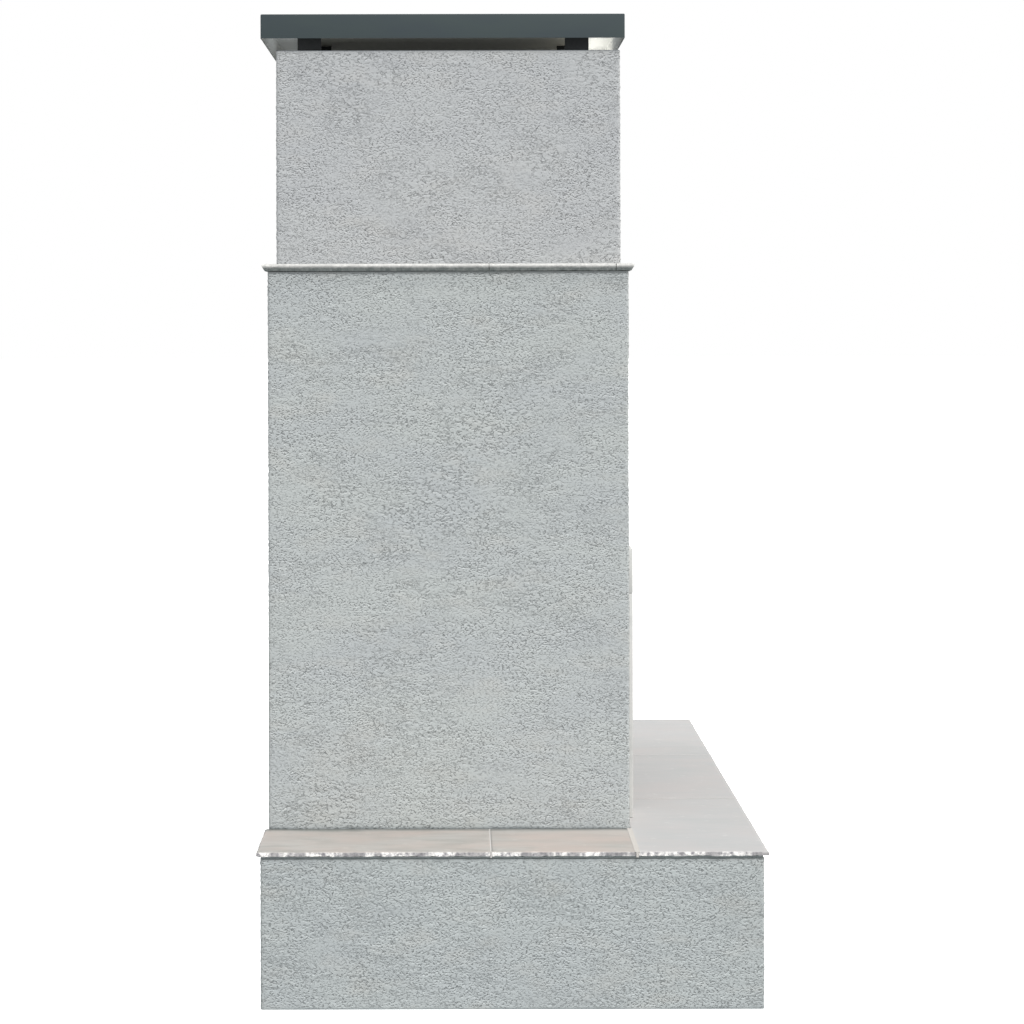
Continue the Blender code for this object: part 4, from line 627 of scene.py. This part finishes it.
def tile(name, node, sides, finish, slot, scoop, turn):
    """A tile that stands for a CAD tile, with its named sides split."""
    low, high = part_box(node)
    thickness = high.z - low.z
    piece = tile_blank(name, low, high, sides, turn)

    def near_side(vertex):
        gaps = [abs((low if sign < 0 else high)[axis] - vertex.co[axis])
                for axis, sign in (SIDES[side] for side in sides)]
        undercut = 2 * NOSE * soft_step(high.z - vertex.co.z, 0, thickness)
        return 1 - soft_step(min(gaps) - undercut, 0.5 * NOSE, 1.5 * NOSE)

    weigh(piece, "split", near_side)
    weigh(piece, "under", lambda v: near_side(v) * soft_step(
        high.z - v.co.z, (turn - 0.02) * thickness, (turn + 0.12) * thickness))
    for texture, strength, level in ((scoop_noise, scoop, 1.4), (grit_noise, GRIT, 1.0)):
        modify(piece, "DISPLACE", texture=texture, texture_coords="LOCAL",
               vertex_group="split_weight", strength=strength, mid_level=level)
    bpy.ops.object.mode_set(mode="EDIT")
    bpy.ops.mesh.select_mode(type="FACE")
    bpy.ops.mesh.select_all(action="SELECT")
    bpy.ops.mesh.faces_shade_smooth()
    pick(piece, "FACE", lambda face: face.normal.z < 0.9)
    bpy.ops.mesh.faces_shade_flat()
    bpy.ops.object.mode_set(mode="OBJECT")
    dress(piece, finish, "fireplace", slot, node)


# %% [markdown]
# The hearth's and the ledges' edges are deep and rough, while the mantel's thin strips only have
# small chips, and turn under higher up.

# %% Hearth and ledge tiles
for label, sides in (("left", ("left", "front")), ("middle", ("front",)),
                     ("right", ("right", "front"))):
    tile("hearth_stone_" + label, "hearth_tile_" + label, sides, HEARTH_STONE, "stone_tile",
         HEARTH_SCOOP, HEARTH_TURN)
for side in ("left", "right"):
    for end, sides in (("front", (side,)), ("rear", (side, "rear"))):
        tile("ledge_stone_%s_%s" % (side, end), "ledge_tile_%s_%s" % (side, end), sides,
             SHADED_LEDGE_STONE, "stone_tile", HEARTH_SCOOP, HEARTH_TURN)

# %% Mantel tiles
for label, sides in (("left", ("left", "front")), ("middle", ("front",)),
                     ("right", ("right", "front")), ("rear", ("rear",))):
    tile("mantel_edge_" + label, "mantel_strip_" + label, sides, MANTEL_STONE, "mantel_tile",
         MANTEL_SCOOP, MANTEL_TURN)
for side in ("left", "right"):
    for end, sides in (("front", (side,)), ("rear", (side, "rear"))):
        tile("mantel_stone_%s_%s" % (side, end), "mantel_tile_%s_%s" % (side, end), sides,
             MANTEL_STONE, "mantel_tile", MANTEL_SCOOP, MANTEL_TURN)

# %% [markdown]
# The joints between the tiles are filled with sanded grout of the stone's own tone, tooled with a
# round stick while wet, so each is a shallow trough just below the faces. A block is set in each
# joint, its top is narrowed by an inset and pressed down. Between hearth and ledge a bead of
# sealant, paler than the stone, stands a hair proud of it instead, and laps over both tiles.

# %% Grout in the joints
GROUT_BACK = 0.0015    # how far a line of grout stops short of its joint's ends
GROUT_SINK = 0.0003    # how far it lies below the faces, and its trough below that
BEAD_WIDTH = 0.011
BEAD_PROUD = 0.0005
BEAD_BED = 0.001       # how far the bead stays off the mortar bed
BEAD_SIDE = 0.0008     # how far it reaches into both tiles' rims, so no light shows beside it
BEAD_EASE = 0.7        # share of its height that its edges are rounded by


def joint_between(one, other, axis):
    """The corners of the joint between two neighbouring CAD tiles along an axis."""
    (low_a, high_a), (low_b, high_b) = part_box(one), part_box(other)
    low = Vector(max(a, b) for a, b in zip(low_a, low_b))
    high = Vector(min(a, b) for a, b in zip(high_a, high_b))
    low[axis], high[axis] = sorted((high_a[axis], low_b[axis]) if high_a[axis] < high_b[axis]
                                   else (high_b[axis], low_a[axis]))
    return low, high


def grout_line(name, one, other, axis):
    """A tooled line of grout between two tiles."""
    low, high = joint_between(one, other, axis)
    low[1 - axis], high[1 - axis] = low[1 - axis] + GROUT_BACK, high[1 - axis] - GROUT_BACK
    high.z -= GROUT_SINK
    piece = block(name, low, high)
    bpy.ops.object.mode_set(mode="EDIT")
    pick(piece, "FACE", lambda face: face.normal.z > 0.9)
    bpy.ops.mesh.inset(thickness=0.3 * (high[axis] - low[axis]))
    bpy.ops.transform.translate(value=(0, 0, -GROUT_SINK))
    bpy.ops.object.mode_set(mode="OBJECT")
    dress(piece, GROUT, "fireplace", "grout")


def sealing_bead(name, one, other):
    """A bead along X that fills a joint and laps over both tiles."""
    low, high = joint_between(one, other, 1)
    low.y, high.y = low.y - BEAD_SIDE, high.y + BEAD_SIDE
    piece = block(name, (low.x, low.y, low.z + BEAD_BED), high)
    middle = (low.y + high.y) / 2
    bpy.ops.object.mode_set(mode="EDIT")
    pick(piece, "FACE", lambda face: face.normal.z > 0.9)
    bpy.ops.mesh.extrude_region_move(TRANSFORM_OT_translate={"value": (0, 0, BEAD_PROUD)})
    pick(piece, "FACE", lambda face: abs(face.normal.y) > 0.9
         and face.calc_center_median().z > high.z)
    lap = 0.5 * (BEAD_WIDTH - high.y + low.y)
    bpy.ops.mesh.extrude_faces_move(TRANSFORM_OT_shrink_fatten={"value": lap})
    pick(piece, "EDGE", lambda edge: runs_along(edge, 0)
         and edge.verts[0].co.z > high.z + 0.5 * BEAD_PROUD
         and abs(edge.verts[0].co.y - middle) > 0.49 * BEAD_WIDTH)
    bpy.ops.mesh.bevel(offset=BEAD_EASE * BEAD_PROUD, segments=2, affect="EDGES")
    bpy.ops.object.mode_set(mode="OBJECT")
    dress(piece, BEAD, "fireplace", "grout")


for side in ("left", "right"):
    grout_line("hearth_grout_" + side, "hearth_tile_" + side, "hearth_tile_middle", 0)
    sealing_bead("ledge_bead_" + side, "hearth_tile_" + side, "ledge_tile_%s_front" % side)
    grout_line("ledge_grout_%s_rear" % side, "ledge_tile_%s_front" % side,
               "ledge_tile_%s_rear" % side, 1)

# %% [markdown]
# ## The cap
# The cap is one sheet of steel, folded down on four sides and painted slate grey in a dull
# powder coat. Its inside never saw the spray gun fully: it is pale primer, painted darker over the
# flue's middle as painted shade, where little light gets in under the cap. A bend has a radius, so
# the box gets small rounded edges before it is hollowed out.

# %% Cap finishes
def painted_sheet(name, base, edge, roughness):
    """Powder coat: a faint orange peel and a slow drift of tone."""
    material, tree, shader, place = start_finish(name, base, roughness)
    drift = add(tree, "TexNoise", grain=(place, (0.10, 0.16, 0.05)))
    tint = layered(tree, base, (drift, [(0.35, 0.0), (0.70, 0.7)], edge))
    peel = add(tree, "TexNoise", {"Detail": 1.0}, grain=(place, [0.0025] * 3))
    end_finish(shader, tint, peel, 0.08, 0.0002)
    return material


def shaded_primer(name, pale, soot_and_shade, middle, reach):
    """Pale primer, painted darker as painted shade within reach of the flue's middle."""
    material, tree, shader, place = start_finish(name, pale, 0.7)
    along = add(tree, "SeparateXYZ", {0: place}).outputs["Y"]
    away = add(tree, "Math", {0: along, 1: middle}, operation="SUBTRACT")
    away = add(tree, "Math", {0: away}, operation="ABSOLUTE")
    ragged = add(tree, "TexNoise", {"Detail": 3.0}, grain=(place, [0.05] * 3))
    ragged = add(tree, "Math", {0: ragged, 1: 0.04, 2: away}, operation="MULTIPLY_ADD")
    share = add(tree, "MapRange", {0: ragged, 1: reach[0], 2: reach[1]},
                interpolation_type="SMOOTHSTEP")
    feed(shader, {"Base Color": layered(tree, soot_and_shade, (share, None, pale))})
    return material


cap_low, cap_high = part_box("cap_tray")
cap_middle = (cap_low.y + cap_high.y) / 2
CAP_PAINT = painted_sheet("powder_coat_slate", "#343F40", "#303A3F", 0.75)
LEG_PAINT = painted_sheet("powder_coat_black", "#171A19", "#101211", 0.5)
# The primer's darker colour is painted shade over the flue's middle, under the cap.
CAP_PRIMER = shaded_primer("primer_with_painted_shade", "#DDDFDB", "#7E7D74", cap_middle, (0.34, 0.40))

# %% Fold the cap
SHEET = 0.0015
BEND = 0.0025
cap = block("cap_sheet", cap_low, cap_high)
bpy.ops.object.mode_set(mode="EDIT")
pick(cap, "FACE", lambda face: face.normal.z < -0.9)
bpy.ops.mesh.delete(type="FACE")
pick(cap, "EDGE", lambda edge: not edge.is_boundary)
bpy.ops.mesh.bevel(offset=BEND, segments=3, affect="EDGES")
bpy.ops.object.mode_set(mode="OBJECT")
cap.data.materials.append(CAP_PAINT)
cap.data.materials.append(CAP_PRIMER)
modify(cap, "SOLIDIFY", thickness=SHEET, offset=-1, material_offset=1, use_even_offset=True)
bpy.ops.object.shade_smooth_by_angle(angle=math.radians(40))
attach(cap, "fireplace")
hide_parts("cap_tray")
print(cap.name, len(cap.data.polygons), "faces")

# %% [markdown]
# ## Finishes for the nodes that stay
# Studs, boards, pipes and castings are right as solids, so they keep their shape and only get a
# finish. Galvanised sheet shows spangle, flakes of zinc some 15 mm across. Cast iron is dull and
# pimpled from the sand mould. Firebrick is buff and porous, and blackens towards the top.

# %% Metal finishes
ZINC_FLAKE = 0.015


def spangle(name, base, dark, roughness):
    """Hot-dip galvanised sheet: zinc flakes that differ a little in tone and gloss."""
    material, tree, shader, place = start_finish(name, base, roughness, 1.0)
    flakes = add(tree, "TexVoronoi", {"Vector": place, "Scale": 1 / ZINC_FLAKE}).outputs["Color"]
    tone = add(tree, "SeparateColor", {0: flakes})
    gloss = add(tree, "Math", {0: tone, 1: 0.2, 2: roughness - 0.1}, operation="MULTIPLY_ADD")
    feed(shader, {"Base Color": layered(tree, base, (tone, None, dark)), "Roughness": gloss})
    return material


def brushed(name, base, dark, roughness, along):
    """Stainless steel or brass with fine brushing lines along an axis."""
    material, tree, shader, place = start_finish(name, base, roughness, 1.0)
    size = [0.0015, 0.0015, 0.0015]
    size[along] = 0.12
    lines = add(tree, "TexNoise", grain=(place, size))
    end_finish(shader, layered(tree, base, (lines, None, dark)), lines, 0.15, 0.0001)
    return material


def sand_cast(name, base, rust, roughness):
    """Cast iron: pimpled skin, with a breath of rust."""
    material, tree, shader, place = start_finish(name, base, roughness, 0.6)
    bloom = add(tree, "TexNoise", {"Detail": 4.0}, grain=(place, [0.03] * 3))
    tint = layered(tree, base, (bloom, [(0.52, 0.0), (0.72, 0.7)], rust))
    pimples = add(tree, "TexNoise", grain=(place, [0.0018] * 3))
    end_finish(shader, tint, pimples, 0.5, 0.0004)
    return material


GALVANISED = spangle("galvanised_sheet", "#A9ACAE", "#8C9194", 0.42)
STAINLESS = brushed("brushed_stainless", "#B9B7B2", "#A3A19C", 0.32, 0)
FLUE_STEEL = brushed("rolled_stainless", "#AFADA8", "#9A9893", 0.38, 2)
CAST_IRON = sand_cast("sand_cast_iron", "#2C2A29", "#4A3226", 0.62)
print("metal finishes", 4)

# %% Brick and log finishes
def firebrick(name, pale, buff, burnt, mortar):
    """Refractory in a running bond, blackened by smoke as it rises."""
    material, tree, shader, place = start_finish(name, buff, 0.88)
    tone = add(tree, "Attribute", attribute_name="tone").outputs["Fac"]
    speck = add(tree, "TexNoise", {"Detail": 4.0, "Roughness": 0.7}, grain=(place, [0.006] * 3))
    smoke = add(tree, "TexNoise", {"Detail": 4.0}, grain=(place, (0.10, 0.10, 0.16)))
    rise = add(tree, "SeparateXYZ", {0: place}).outputs["Z"]
    ragged = add(tree, "Math", {0: smoke, 1: 0.5, 2: rise}, operation="MULTIPLY_ADD")
    soot_and_shade = add(tree, "MapRange", {0: ragged, 1: 0.62, 2: 1.15, 4: 0.92},
               interpolation_type="SMOOTHSTEP")
    tint = layered(tree, pale, (tone, None, buff), (speck, [(0.52, 0.0), (0.70, 0.8)], mortar),
                   (soot_and_shade, None, burnt))
    end_finish(shader, tint, speck, 0.6, 0.0008)
    return material


def bark(name, wood, furrow, char, along):
    """Moulded refractory log, painted as bark and charred where the flames lick."""
    material, tree, shader, place = start_finish(name, wood, 0.85)
    size = [0.007, 0.007, 0.007]
    size[along] = 0.040
    furrows = add(tree, "TexNoise", {"Detail": 5.0, "Roughness": 0.65, "Distortion": 0.8},
                  grain=(place, size))
    burn = add(tree, "TexNoise", {"Detail": 3.0}, grain=(place, (0.07, 0.07, 0.05)))
    tint = layered(tree, wood, (furrows, [(0.44, 1.0), (0.56, 0.0)], furrow),
                   (burn, [(0.46, 0.0), (0.60, 0.9)], char))
    end_finish(shader, tint, furrows, 0.8, 0.002)
    return material


FIREBRICK = firebrick("cast_firebrick", "#CDB691", "#A38259", "#2B2622", "#8C7A60")
FIRE_MORTAR = firebrick("refractory_mortar", "#9C9384", "#8C8272", "#26221F", "#7A7266")
CEMENT_BOARD = cast_mass("cement_board", "#979590", "#858380", 0.02, 0.9)
LOG_BARK = [bark("refractory_log_bark_" + "xy"[along], "#806248", "#3A2A1E", "#1B1817", along)
            for along in (0, 1)]
print("brick, board and log finishes", 5)

# %% Enamel, brass and plastic finishes
def moulded(name, base, wear_and_shade, roughness, size=0.0012):
    """Moulded, sprayed or printed: even, with a fine tooth that dulls the gloss."""
    material, tree, shader, place = start_finish(name, base, roughness)
    tooth = add(tree, "TexNoise", grain=(place, [size] * 3))
    tint = layered(tree, base, (tooth, [(0.35, 0.0), (0.75, 0.6)], wear_and_shade))
    end_finish(shader, tint, tooth, 0.2, 0.0001)
    return material


STOVE_BLACK = moulded("heat_proof_black", "#1E1E1E", "#2B2927", 0.75, 0.004)
KNOB_BLACK = moulded("phenolic_black", "#141415", "#1D1D1F", 0.4)
BUTTON_RED = moulded("moulded_red_abs", "#A81E18", "#B9312A", 0.32)
BRASS = brushed("machined_brass", "#C39B52", "#AE8744", 0.28, 1)
print("enamel, brass and plastic finishes", 4)

# %% Give the nodes their finishes
FINISH_OF_SLOT = {
    "stucco": BODY_STUCCO, "chimney_stucco": CHIMNEY_STUCCO, "stone_tile": SURROUND_STONE,
    "mantel_tile": MANTEL_STONE, "grout": GROUT, "cement_board": CEMENT_BOARD,
    "galvanised_steel": GALVANISED, "black_steel": STOVE_BLACK, "firebrick": FIREBRICK,
    "cap_paint": CAP_PAINT, "leg_paint": LEG_PAINT, "cast_iron": CAST_IRON,
    "stainless_steel": STAINLESS, "ceramic_log": LOG_BARK[0], "brass": BRASS,
    "black_plastic": KNOB_BLACK, "red_plastic": BUTTON_RED}
for node in nodes.values():
    for index, material in enumerate(node.data.materials):
        node.data.materials[index] = FINISH_OF_SLOT[material.name]
nodes["flue_pipe"].data.materials[0] = FLUE_STEEL
nodes["hearth_bed"].data.materials[0] = THIN_SET
print("finished nodes", len(nodes))

# %% [markdown]
# ## Eased copies
# A solid from the CAD has knife-sharp edges, and nothing real has: a casting, a folded sheet and a
# cut tile all catch a thin line of light where two faces meet. Each visible part gets a copy whose
# triangles are merged back into flat faces, and a Bevel modifier then rounds only the sharp edges.

# %% Ease the edges
def merged_copy(name, node):
    """A copy of a CAD node with its doubles merged and its flat faces whole again."""
    bpy.ops.object.select_all(action="DESELECT")
    piece = nodes[node].copy()
    piece.data = nodes[node].data.copy()
    piece.name = piece.data.name = name
    piece.animation_data_clear()
    bpy.context.collection.objects.link(piece)
    bpy.context.view_layer.objects.active = piece
    piece.select_set(True)
    bpy.ops.object.mode_set(mode="EDIT")
    bpy.ops.mesh.select_all(action="SELECT")
    bpy.ops.mesh.remove_doubles(threshold=0.00001)
    bpy.ops.mesh.dissolve_limited(angle_limit=math.radians(1))
    bpy.ops.object.mode_set(mode="OBJECT")
    return piece


SHARP = math.radians(32)


def ease(node, finish, body, slot, width):
    """A copy of a node with its sharp edges rounded by about width."""
    piece = merged_copy(node + "_eased", node)
    modify(piece, "BEVEL", width=width, segments=2, limit_method="ANGLE", angle_limit=SHARP)
    bpy.ops.object.shade_smooth_by_angle(angle=SHARP)
    dress(piece, finish, body, slot, node)


for side in ("left", "right"):
    ease("surround_leg_" + side, SURROUND_STONE, "fireplace", "stone_tile", 0.0012)
    ease("surround_header_" + side, SURROUND_STONE, "fireplace", "stone_tile", 0.0012)
    for end in ("front", "rear"):
        ease("cap_leg_%s_%s" % (end, side), LEG_PAINT, "fireplace", "leg_paint", 0.0012)
for node, finish, body, slot, width in (
        ("log_grate", CAST_IRON, "fireplace", "cast_iron", 0.0012),
        ("burner_pan", STAINLESS, "fireplace", "stainless_steel", 0.0004),
        ("control_bracket", STAINLESS, "fireplace", "stainless_steel", 0.0004),
        ("gas_valve", BRASS, "fireplace", "brass", 0.0008),
        ("gas_knob", KNOB_BLACK, "knob", "black_plastic", 0.0006),
        ("igniter_button", BUTTON_RED, "button", "red_plastic", 0.0005),
        ("igniter_body", KNOB_BLACK, "fireplace", "black_plastic", 0.0004),
        ("damper_frame", CAST_IRON, "fireplace", "cast_iron", 0.0010),
        ("damper_plate", CAST_IRON, "damper", "cast_iron", 0.0010),
        ("damper_handle", CAST_IRON, "damper", "cast_iron", 0.0006)):
    ease(node, finish, body, slot, width)

# %% [markdown]
# The knob needs a mark that shows where it points. A thin inlay is enough: a block with rounded
# ends that stands a quarter of a millimetre proud of the knob's face and turns with it.

# %% Pointer on the knob
knob_low, knob_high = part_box("gas_knob")
knob_x, knob_z = (knob_low.x + knob_high.x) / 2, (knob_low.z + knob_high.z) / 2
POINTER_HALF, POINTER_PROUD = 0.0009, 0.00025
pointer = block("knob_pointer",
                (knob_x - POINTER_HALF, knob_low.y - POINTER_PROUD, knob_z + 0.004),
                (knob_x + POINTER_HALF, knob_low.y + 0.002, knob_high.z - 0.0035))
modify(pointer, "BEVEL", width=0.0005, segments=2)
POINTER_WHITE = moulded("printed_white", "#DAD9D4", "#CFCDC7", 0.5)
dress(pointer, POINTER_WHITE, "knob", "black_plastic")

# %% [markdown]
# ## Firebrick lining
# The firebox is lined with cast firebricks in a running bond, with mortar joints raked 4 mm deep.
# The CAD slabs already have each brick and joint, so a merged copy is refined: the bricks' front
# edges are picked by their height over the slab and bevelled, as tumbled bricks are, and each brick
# is pressed back by its own fraction of a millimetre. The raked faces get mortar. Every brick keeps
# one tone of its own, stored as an attribute on its faces.

# %% Lay the firebricks
BRICK_GROOVE = 0.004
BRICK_EDGE = 0.0028
BRICK_PUSH = 0.0009   # how far back a brick may lie
random.seed(11)


def lay_bricks(node, facing):
    """A lining slab, refined, whose bricks face roughly one way."""
    piece = merged_copy(node + "_laid", node)
    faces = [p for p in piece.data.polygons if p.normal.dot(Vector(facing)) > 0.8]
    out = max(faces, key=lambda p: p.area).normal.copy()
    top = max(v.co.dot(out) for v in piece.data.vertices)
    fronts = [p.index for p in faces
              if p.normal.dot(out) > 0.999 and p.center.dot(out) > top - 0.0005]
    centres = kdtree.KDTree(len(fronts))
    for number, index in enumerate(fronts):
        centres.insert(piece.data.polygons[index].center, number)
    centres.balance()
    bpy.ops.object.mode_set(mode="EDIT")
    mesh = bmesh.from_edit_mesh(piece.data)
    mesh.faces.ensure_lookup_table()
    for index in fronts:
        push = out * random.uniform(-BRICK_PUSH, 0)
        for vertex in mesh.faces[index].verts:
            vertex.co += push
    pick(piece, "EDGE",
         lambda edge: all(v.co.dot(out) > top - BRICK_PUSH - 0.0003 for v in edge.verts))
    bpy.ops.mesh.bevel(offset=BRICK_EDGE, segments=3, affect="EDGES")
    bpy.ops.object.mode_set(mode="OBJECT")
    dress(piece, FIREBRICK, "fireplace", "firebrick", node)
    piece.data.materials.append(FIRE_MORTAR)
    tones = [random.random() for _ in fronts]
    tone = piece.data.attributes.new("tone", "FLOAT", "FACE")
    for face in piece.data.polygons:
        tone.data[face.index].value = tones[centres.find(face.center)[1]]
        sunk = top - face.center.dot(out)
        raked = face.normal.dot(out) > 0.999 and abs(sunk - BRICK_GROOVE) < 0.0006
        face.material_index = int(raked)
    bpy.ops.object.shade_smooth_by_angle(angle=math.radians(40))
    print(node, len(fronts), "bricks")


for node, facing in (("firebrick_back", (0, -1, 0)), ("firebrick_floor", (0, 0, 1)),
                     ("firebrick_left", (1, 0, 0)), ("firebrick_right", (-1, 0, 0))):
    lay_bricks(node, facing)

# %% [markdown]
# Where the back slab meets the side slabs, a mason fills the open corner with mortar. A block a
# few millimetres wide that stands a hair proud of the bricks is enough, once its edges are eased.

# %% Point the corners
CORNER_PROUD, CORNER_WIDTH = 0.0012, 0.0050
back_low, back_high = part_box("firebrick_back")
for label, sign in (("left", -1), ("right", 1)):
    left, right = sorted((sign * (back_high.x - 0.0005), sign * (back_high.x + CORNER_WIDTH)))
    joint = block("corner_mortar_" + label, (left, back_low.y - CORNER_PROUD, back_low.z),
                  (right, back_low.y + 0.008, back_high.z))
    modify(joint, "BEVEL", width=0.0008, segments=2)
    dress(joint, FIRE_MORTAR, "fireplace", "firebrick")

# %% [markdown]
# ## Logs
# The logs are cast from refractory cement in moulds taken from real wood. A voxel remesh of a
# merged copy gives an even skin to work on. Bark splits along the log, so the noise that a Displace
# modifier presses in is stretched that way by the empty that stretched the stucco's pits.

# %% Bark on the logs
LOG_VOXEL = 0.003
FURROW = 0.006   # depth of the deepest
bark_noise = bpy.data.textures.new("bark_furrows", "CLOUDS")
bark_noise.noise_scale = 0.011
bark_noise.noise_depth = 3
bark_noise.contrast = 2.0
for label, along in (("front", 0), ("rear", 0), ("left", 1), ("middle", 1), ("right", 1)):
    log = merged_copy("bark_log_" + label, "log_" + label)
    stretch.scale = [5.0 if axis == along else 1.0 for axis in range(3)]
    bpy.context.view_layer.update()
    modify(log, "REMESH", mode="VOXEL", voxel_size=LOG_VOXEL)
    modify(log, "DISPLACE", texture=bark_noise, texture_coords="OBJECT",
           texture_coords_object=stretch, strength=FURROW, mid_level=0.85)
    bpy.ops.object.shade_smooth_by_angle(angle=math.radians(60))
    dress(log, LOG_BARK[along], "fireplace", "ceramic_log", "log_" + label)

# %% [markdown]
# Lava granules fill the burner pan and spread the flame. One is modelled from an icosphere with a
# Displace modifier and copied, each copy with its own mesh, size and turn, and all are joined.

# %% Lava granules in the pan
LAVA = cast_mass("lava_granules", "#3A312D", "#6B4A3C", 0.004, 0.95)
GRANULE = 0.0085
MARGIN = 0.012     # from the pan's rim to the outermost granules' middles
LAYER = 0.011      # from the pan's underside to a granule's middle
COLUMNS, ROWS = 22, 6
pan_low, pan_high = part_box("burner_pan")
bpy.ops.object.select_all(action="DESELECT")
bpy.ops.mesh.primitive_ico_sphere_add(subdivisions=2, radius=GRANULE, location=(0, 0, 0))
first = bpy.context.object
lump_noise = bpy.data.textures.new("granule_lumps", "CLOUDS")
lump_noise.noise_scale = 0.007
modify(first, "DISPLACE", texture=lump_noise, texture_coords="LOCAL", strength=0.006, mid_level=0.6)
granules = []
for column in range(COLUMNS):
    for row in range(ROWS):
        granule = first.copy()
        granule.data = first.data.copy()
        x, y = [low + MARGIN + (high - low - 2 * MARGIN) * share for low, high, share in (
            (pan_low.x, pan_high.x, column / (COLUMNS - 1)),
            (pan_low.y, pan_high.y, row / (ROWS - 1)))]
        granule.location = (x + random.uniform(-0.003, 0.003), y + random.uniform(-0.002, 0.002),
                            pan_low.z + LAYER + random.uniform(-0.001, 0.004))
        granule.rotation_euler = [random.uniform(0, math.tau) for _ in "xyz"]
        granule.scale = [random.uniform(0.75, 1.0)] * 3
        bpy.context.collection.objects.link(granule)
        granules.append(granule)
bpy.data.objects.remove(first)
for granule in granules:
    granule.select_set(True)
bpy.context.view_layer.objects.active = granules[0]
bpy.ops.object.transform_apply(location=True, rotation=True, scale=True)
bpy.ops.object.join()
lava = bpy.context.object
lava.name = lava.data.name = "lava_granules"
dress(lava, LAVA, "fireplace", "ceramic_log")

# %% [markdown]
# ## The studio
# A plain white floor runs to the horizon and shows no shade, as the photograph's cut-out
# background does. It is seen by the camera only: what lights the object is a pale surround, even
# from below and from above, so that hollows and low walls stay bright. A soft sun stands halfway
# up on the near side and rakes down the stucco, so the pits show. A warmer light stands before the
# front and a plain one behind the far corner, so no side is left grey. A faint low panel on the
# near side is the light that a floor throws back, and two small ones on the chimney's top give
# the glow that it makes under the cap.

# %% Floor, surround and lights
bpy.ops.object.select_all(action="DESELECT")
bpy.ops.mesh.primitive_plane_add(size=200, location=(0, 0, 0))
floor = bpy.context.object
floor.name = "studio_floor"
paint, _, shader, _ = start_finish("studio_floor_paint", "#F4F4F2", 0.9)
feed(shader, {"Emission Color": "#FFFFFF", "Emission Strength": 1.0})
floor.data.materials.append(paint)
floor.visible_diffuse = floor.visible_glossy = False

world = bpy.data.worlds.new("studio_surround")
bpy.context.scene.world = world
world.use_nodes = True
sky = world.node_tree
sky.nodes.clear()
seen = add(sky, "Background", {"Color": "#FFFFFF", "Strength": 1.0})
lit = add(sky, "Background", {"Color": "#F4F7FA", "Strength": 0.55})
ray = add(sky, "LightPath").outputs["Is Camera Ray"]
both = add(sky, "MixShader", {0: ray, 1: lit, 2: seen})
add(sky, "OutputWorld", {"Surface": both})


def lamp(name, kind, place, aim, power, tint, **settings):
    """A light of a kind at a place, turned to face a point."""
    bpy.ops.object.light_add(type=kind, location=place)
    made = bpy.context.object
    made.name = name
    made.data.energy = power
    made.data.color = colour(tint)[:3]
    for key, value in settings.items():
        setattr(made.data, key, value)
    made.rotation_euler = (Vector(aim) - Vector(place)).to_track_quat("-Z", "Y").to_euler()
    return made


lamp("raking_sun", "SUN", (-6.3, -2.5, 7.4), (0, 0, 0), 3.2, "#FFFFFF", angle=math.radians(20))
lamp("front_light", "AREA", (0.4, -5.0, 2.6), (0, 0, 1.0), 105, "#FFF6EC", size=2.2)
far_side = lamp("far_side_light", "AREA", (3.8, 4.4, 1.3), (0, 0, 1.1), 180, "#FFFFFF", size=2.4)
far_side.visible_glossy = False   # no streak of it along the hearth
bounce = lamp("floor_bounce", "AREA", (-1.9, 0.0, 0.30), (-0.55, 0.0, 0.75), 2.2, "#FFFFFF",
              shape="RECTANGLE", size=0.4, size_y=1.6)
bounce.visible_camera = False
for name, x, y, power, tint, size_x, size_y in (
        ("glow_under_cap_front", 0.17, cap_low.y + 0.05, 0.125, "#FFFBF6", 0.26, 0.03),
        ("glow_under_cap", -0.10, cap_middle, 0.38, "#F4F8FF", 0.30, 0.76)):
    under_cap = lamp(name, "AREA", (x, y, 2.077), (x, y, 3.0), power, tint, shape="RECTANGLE",
                     size=size_x, size_y=size_y)
    under_cap.visible_camera = False
bpy.context.scene.view_settings.view_transform = "Standard"

# %% [markdown]
# ## Tidy up

# %% Remove the helper empty
bpy.data.objects.remove(stretch)
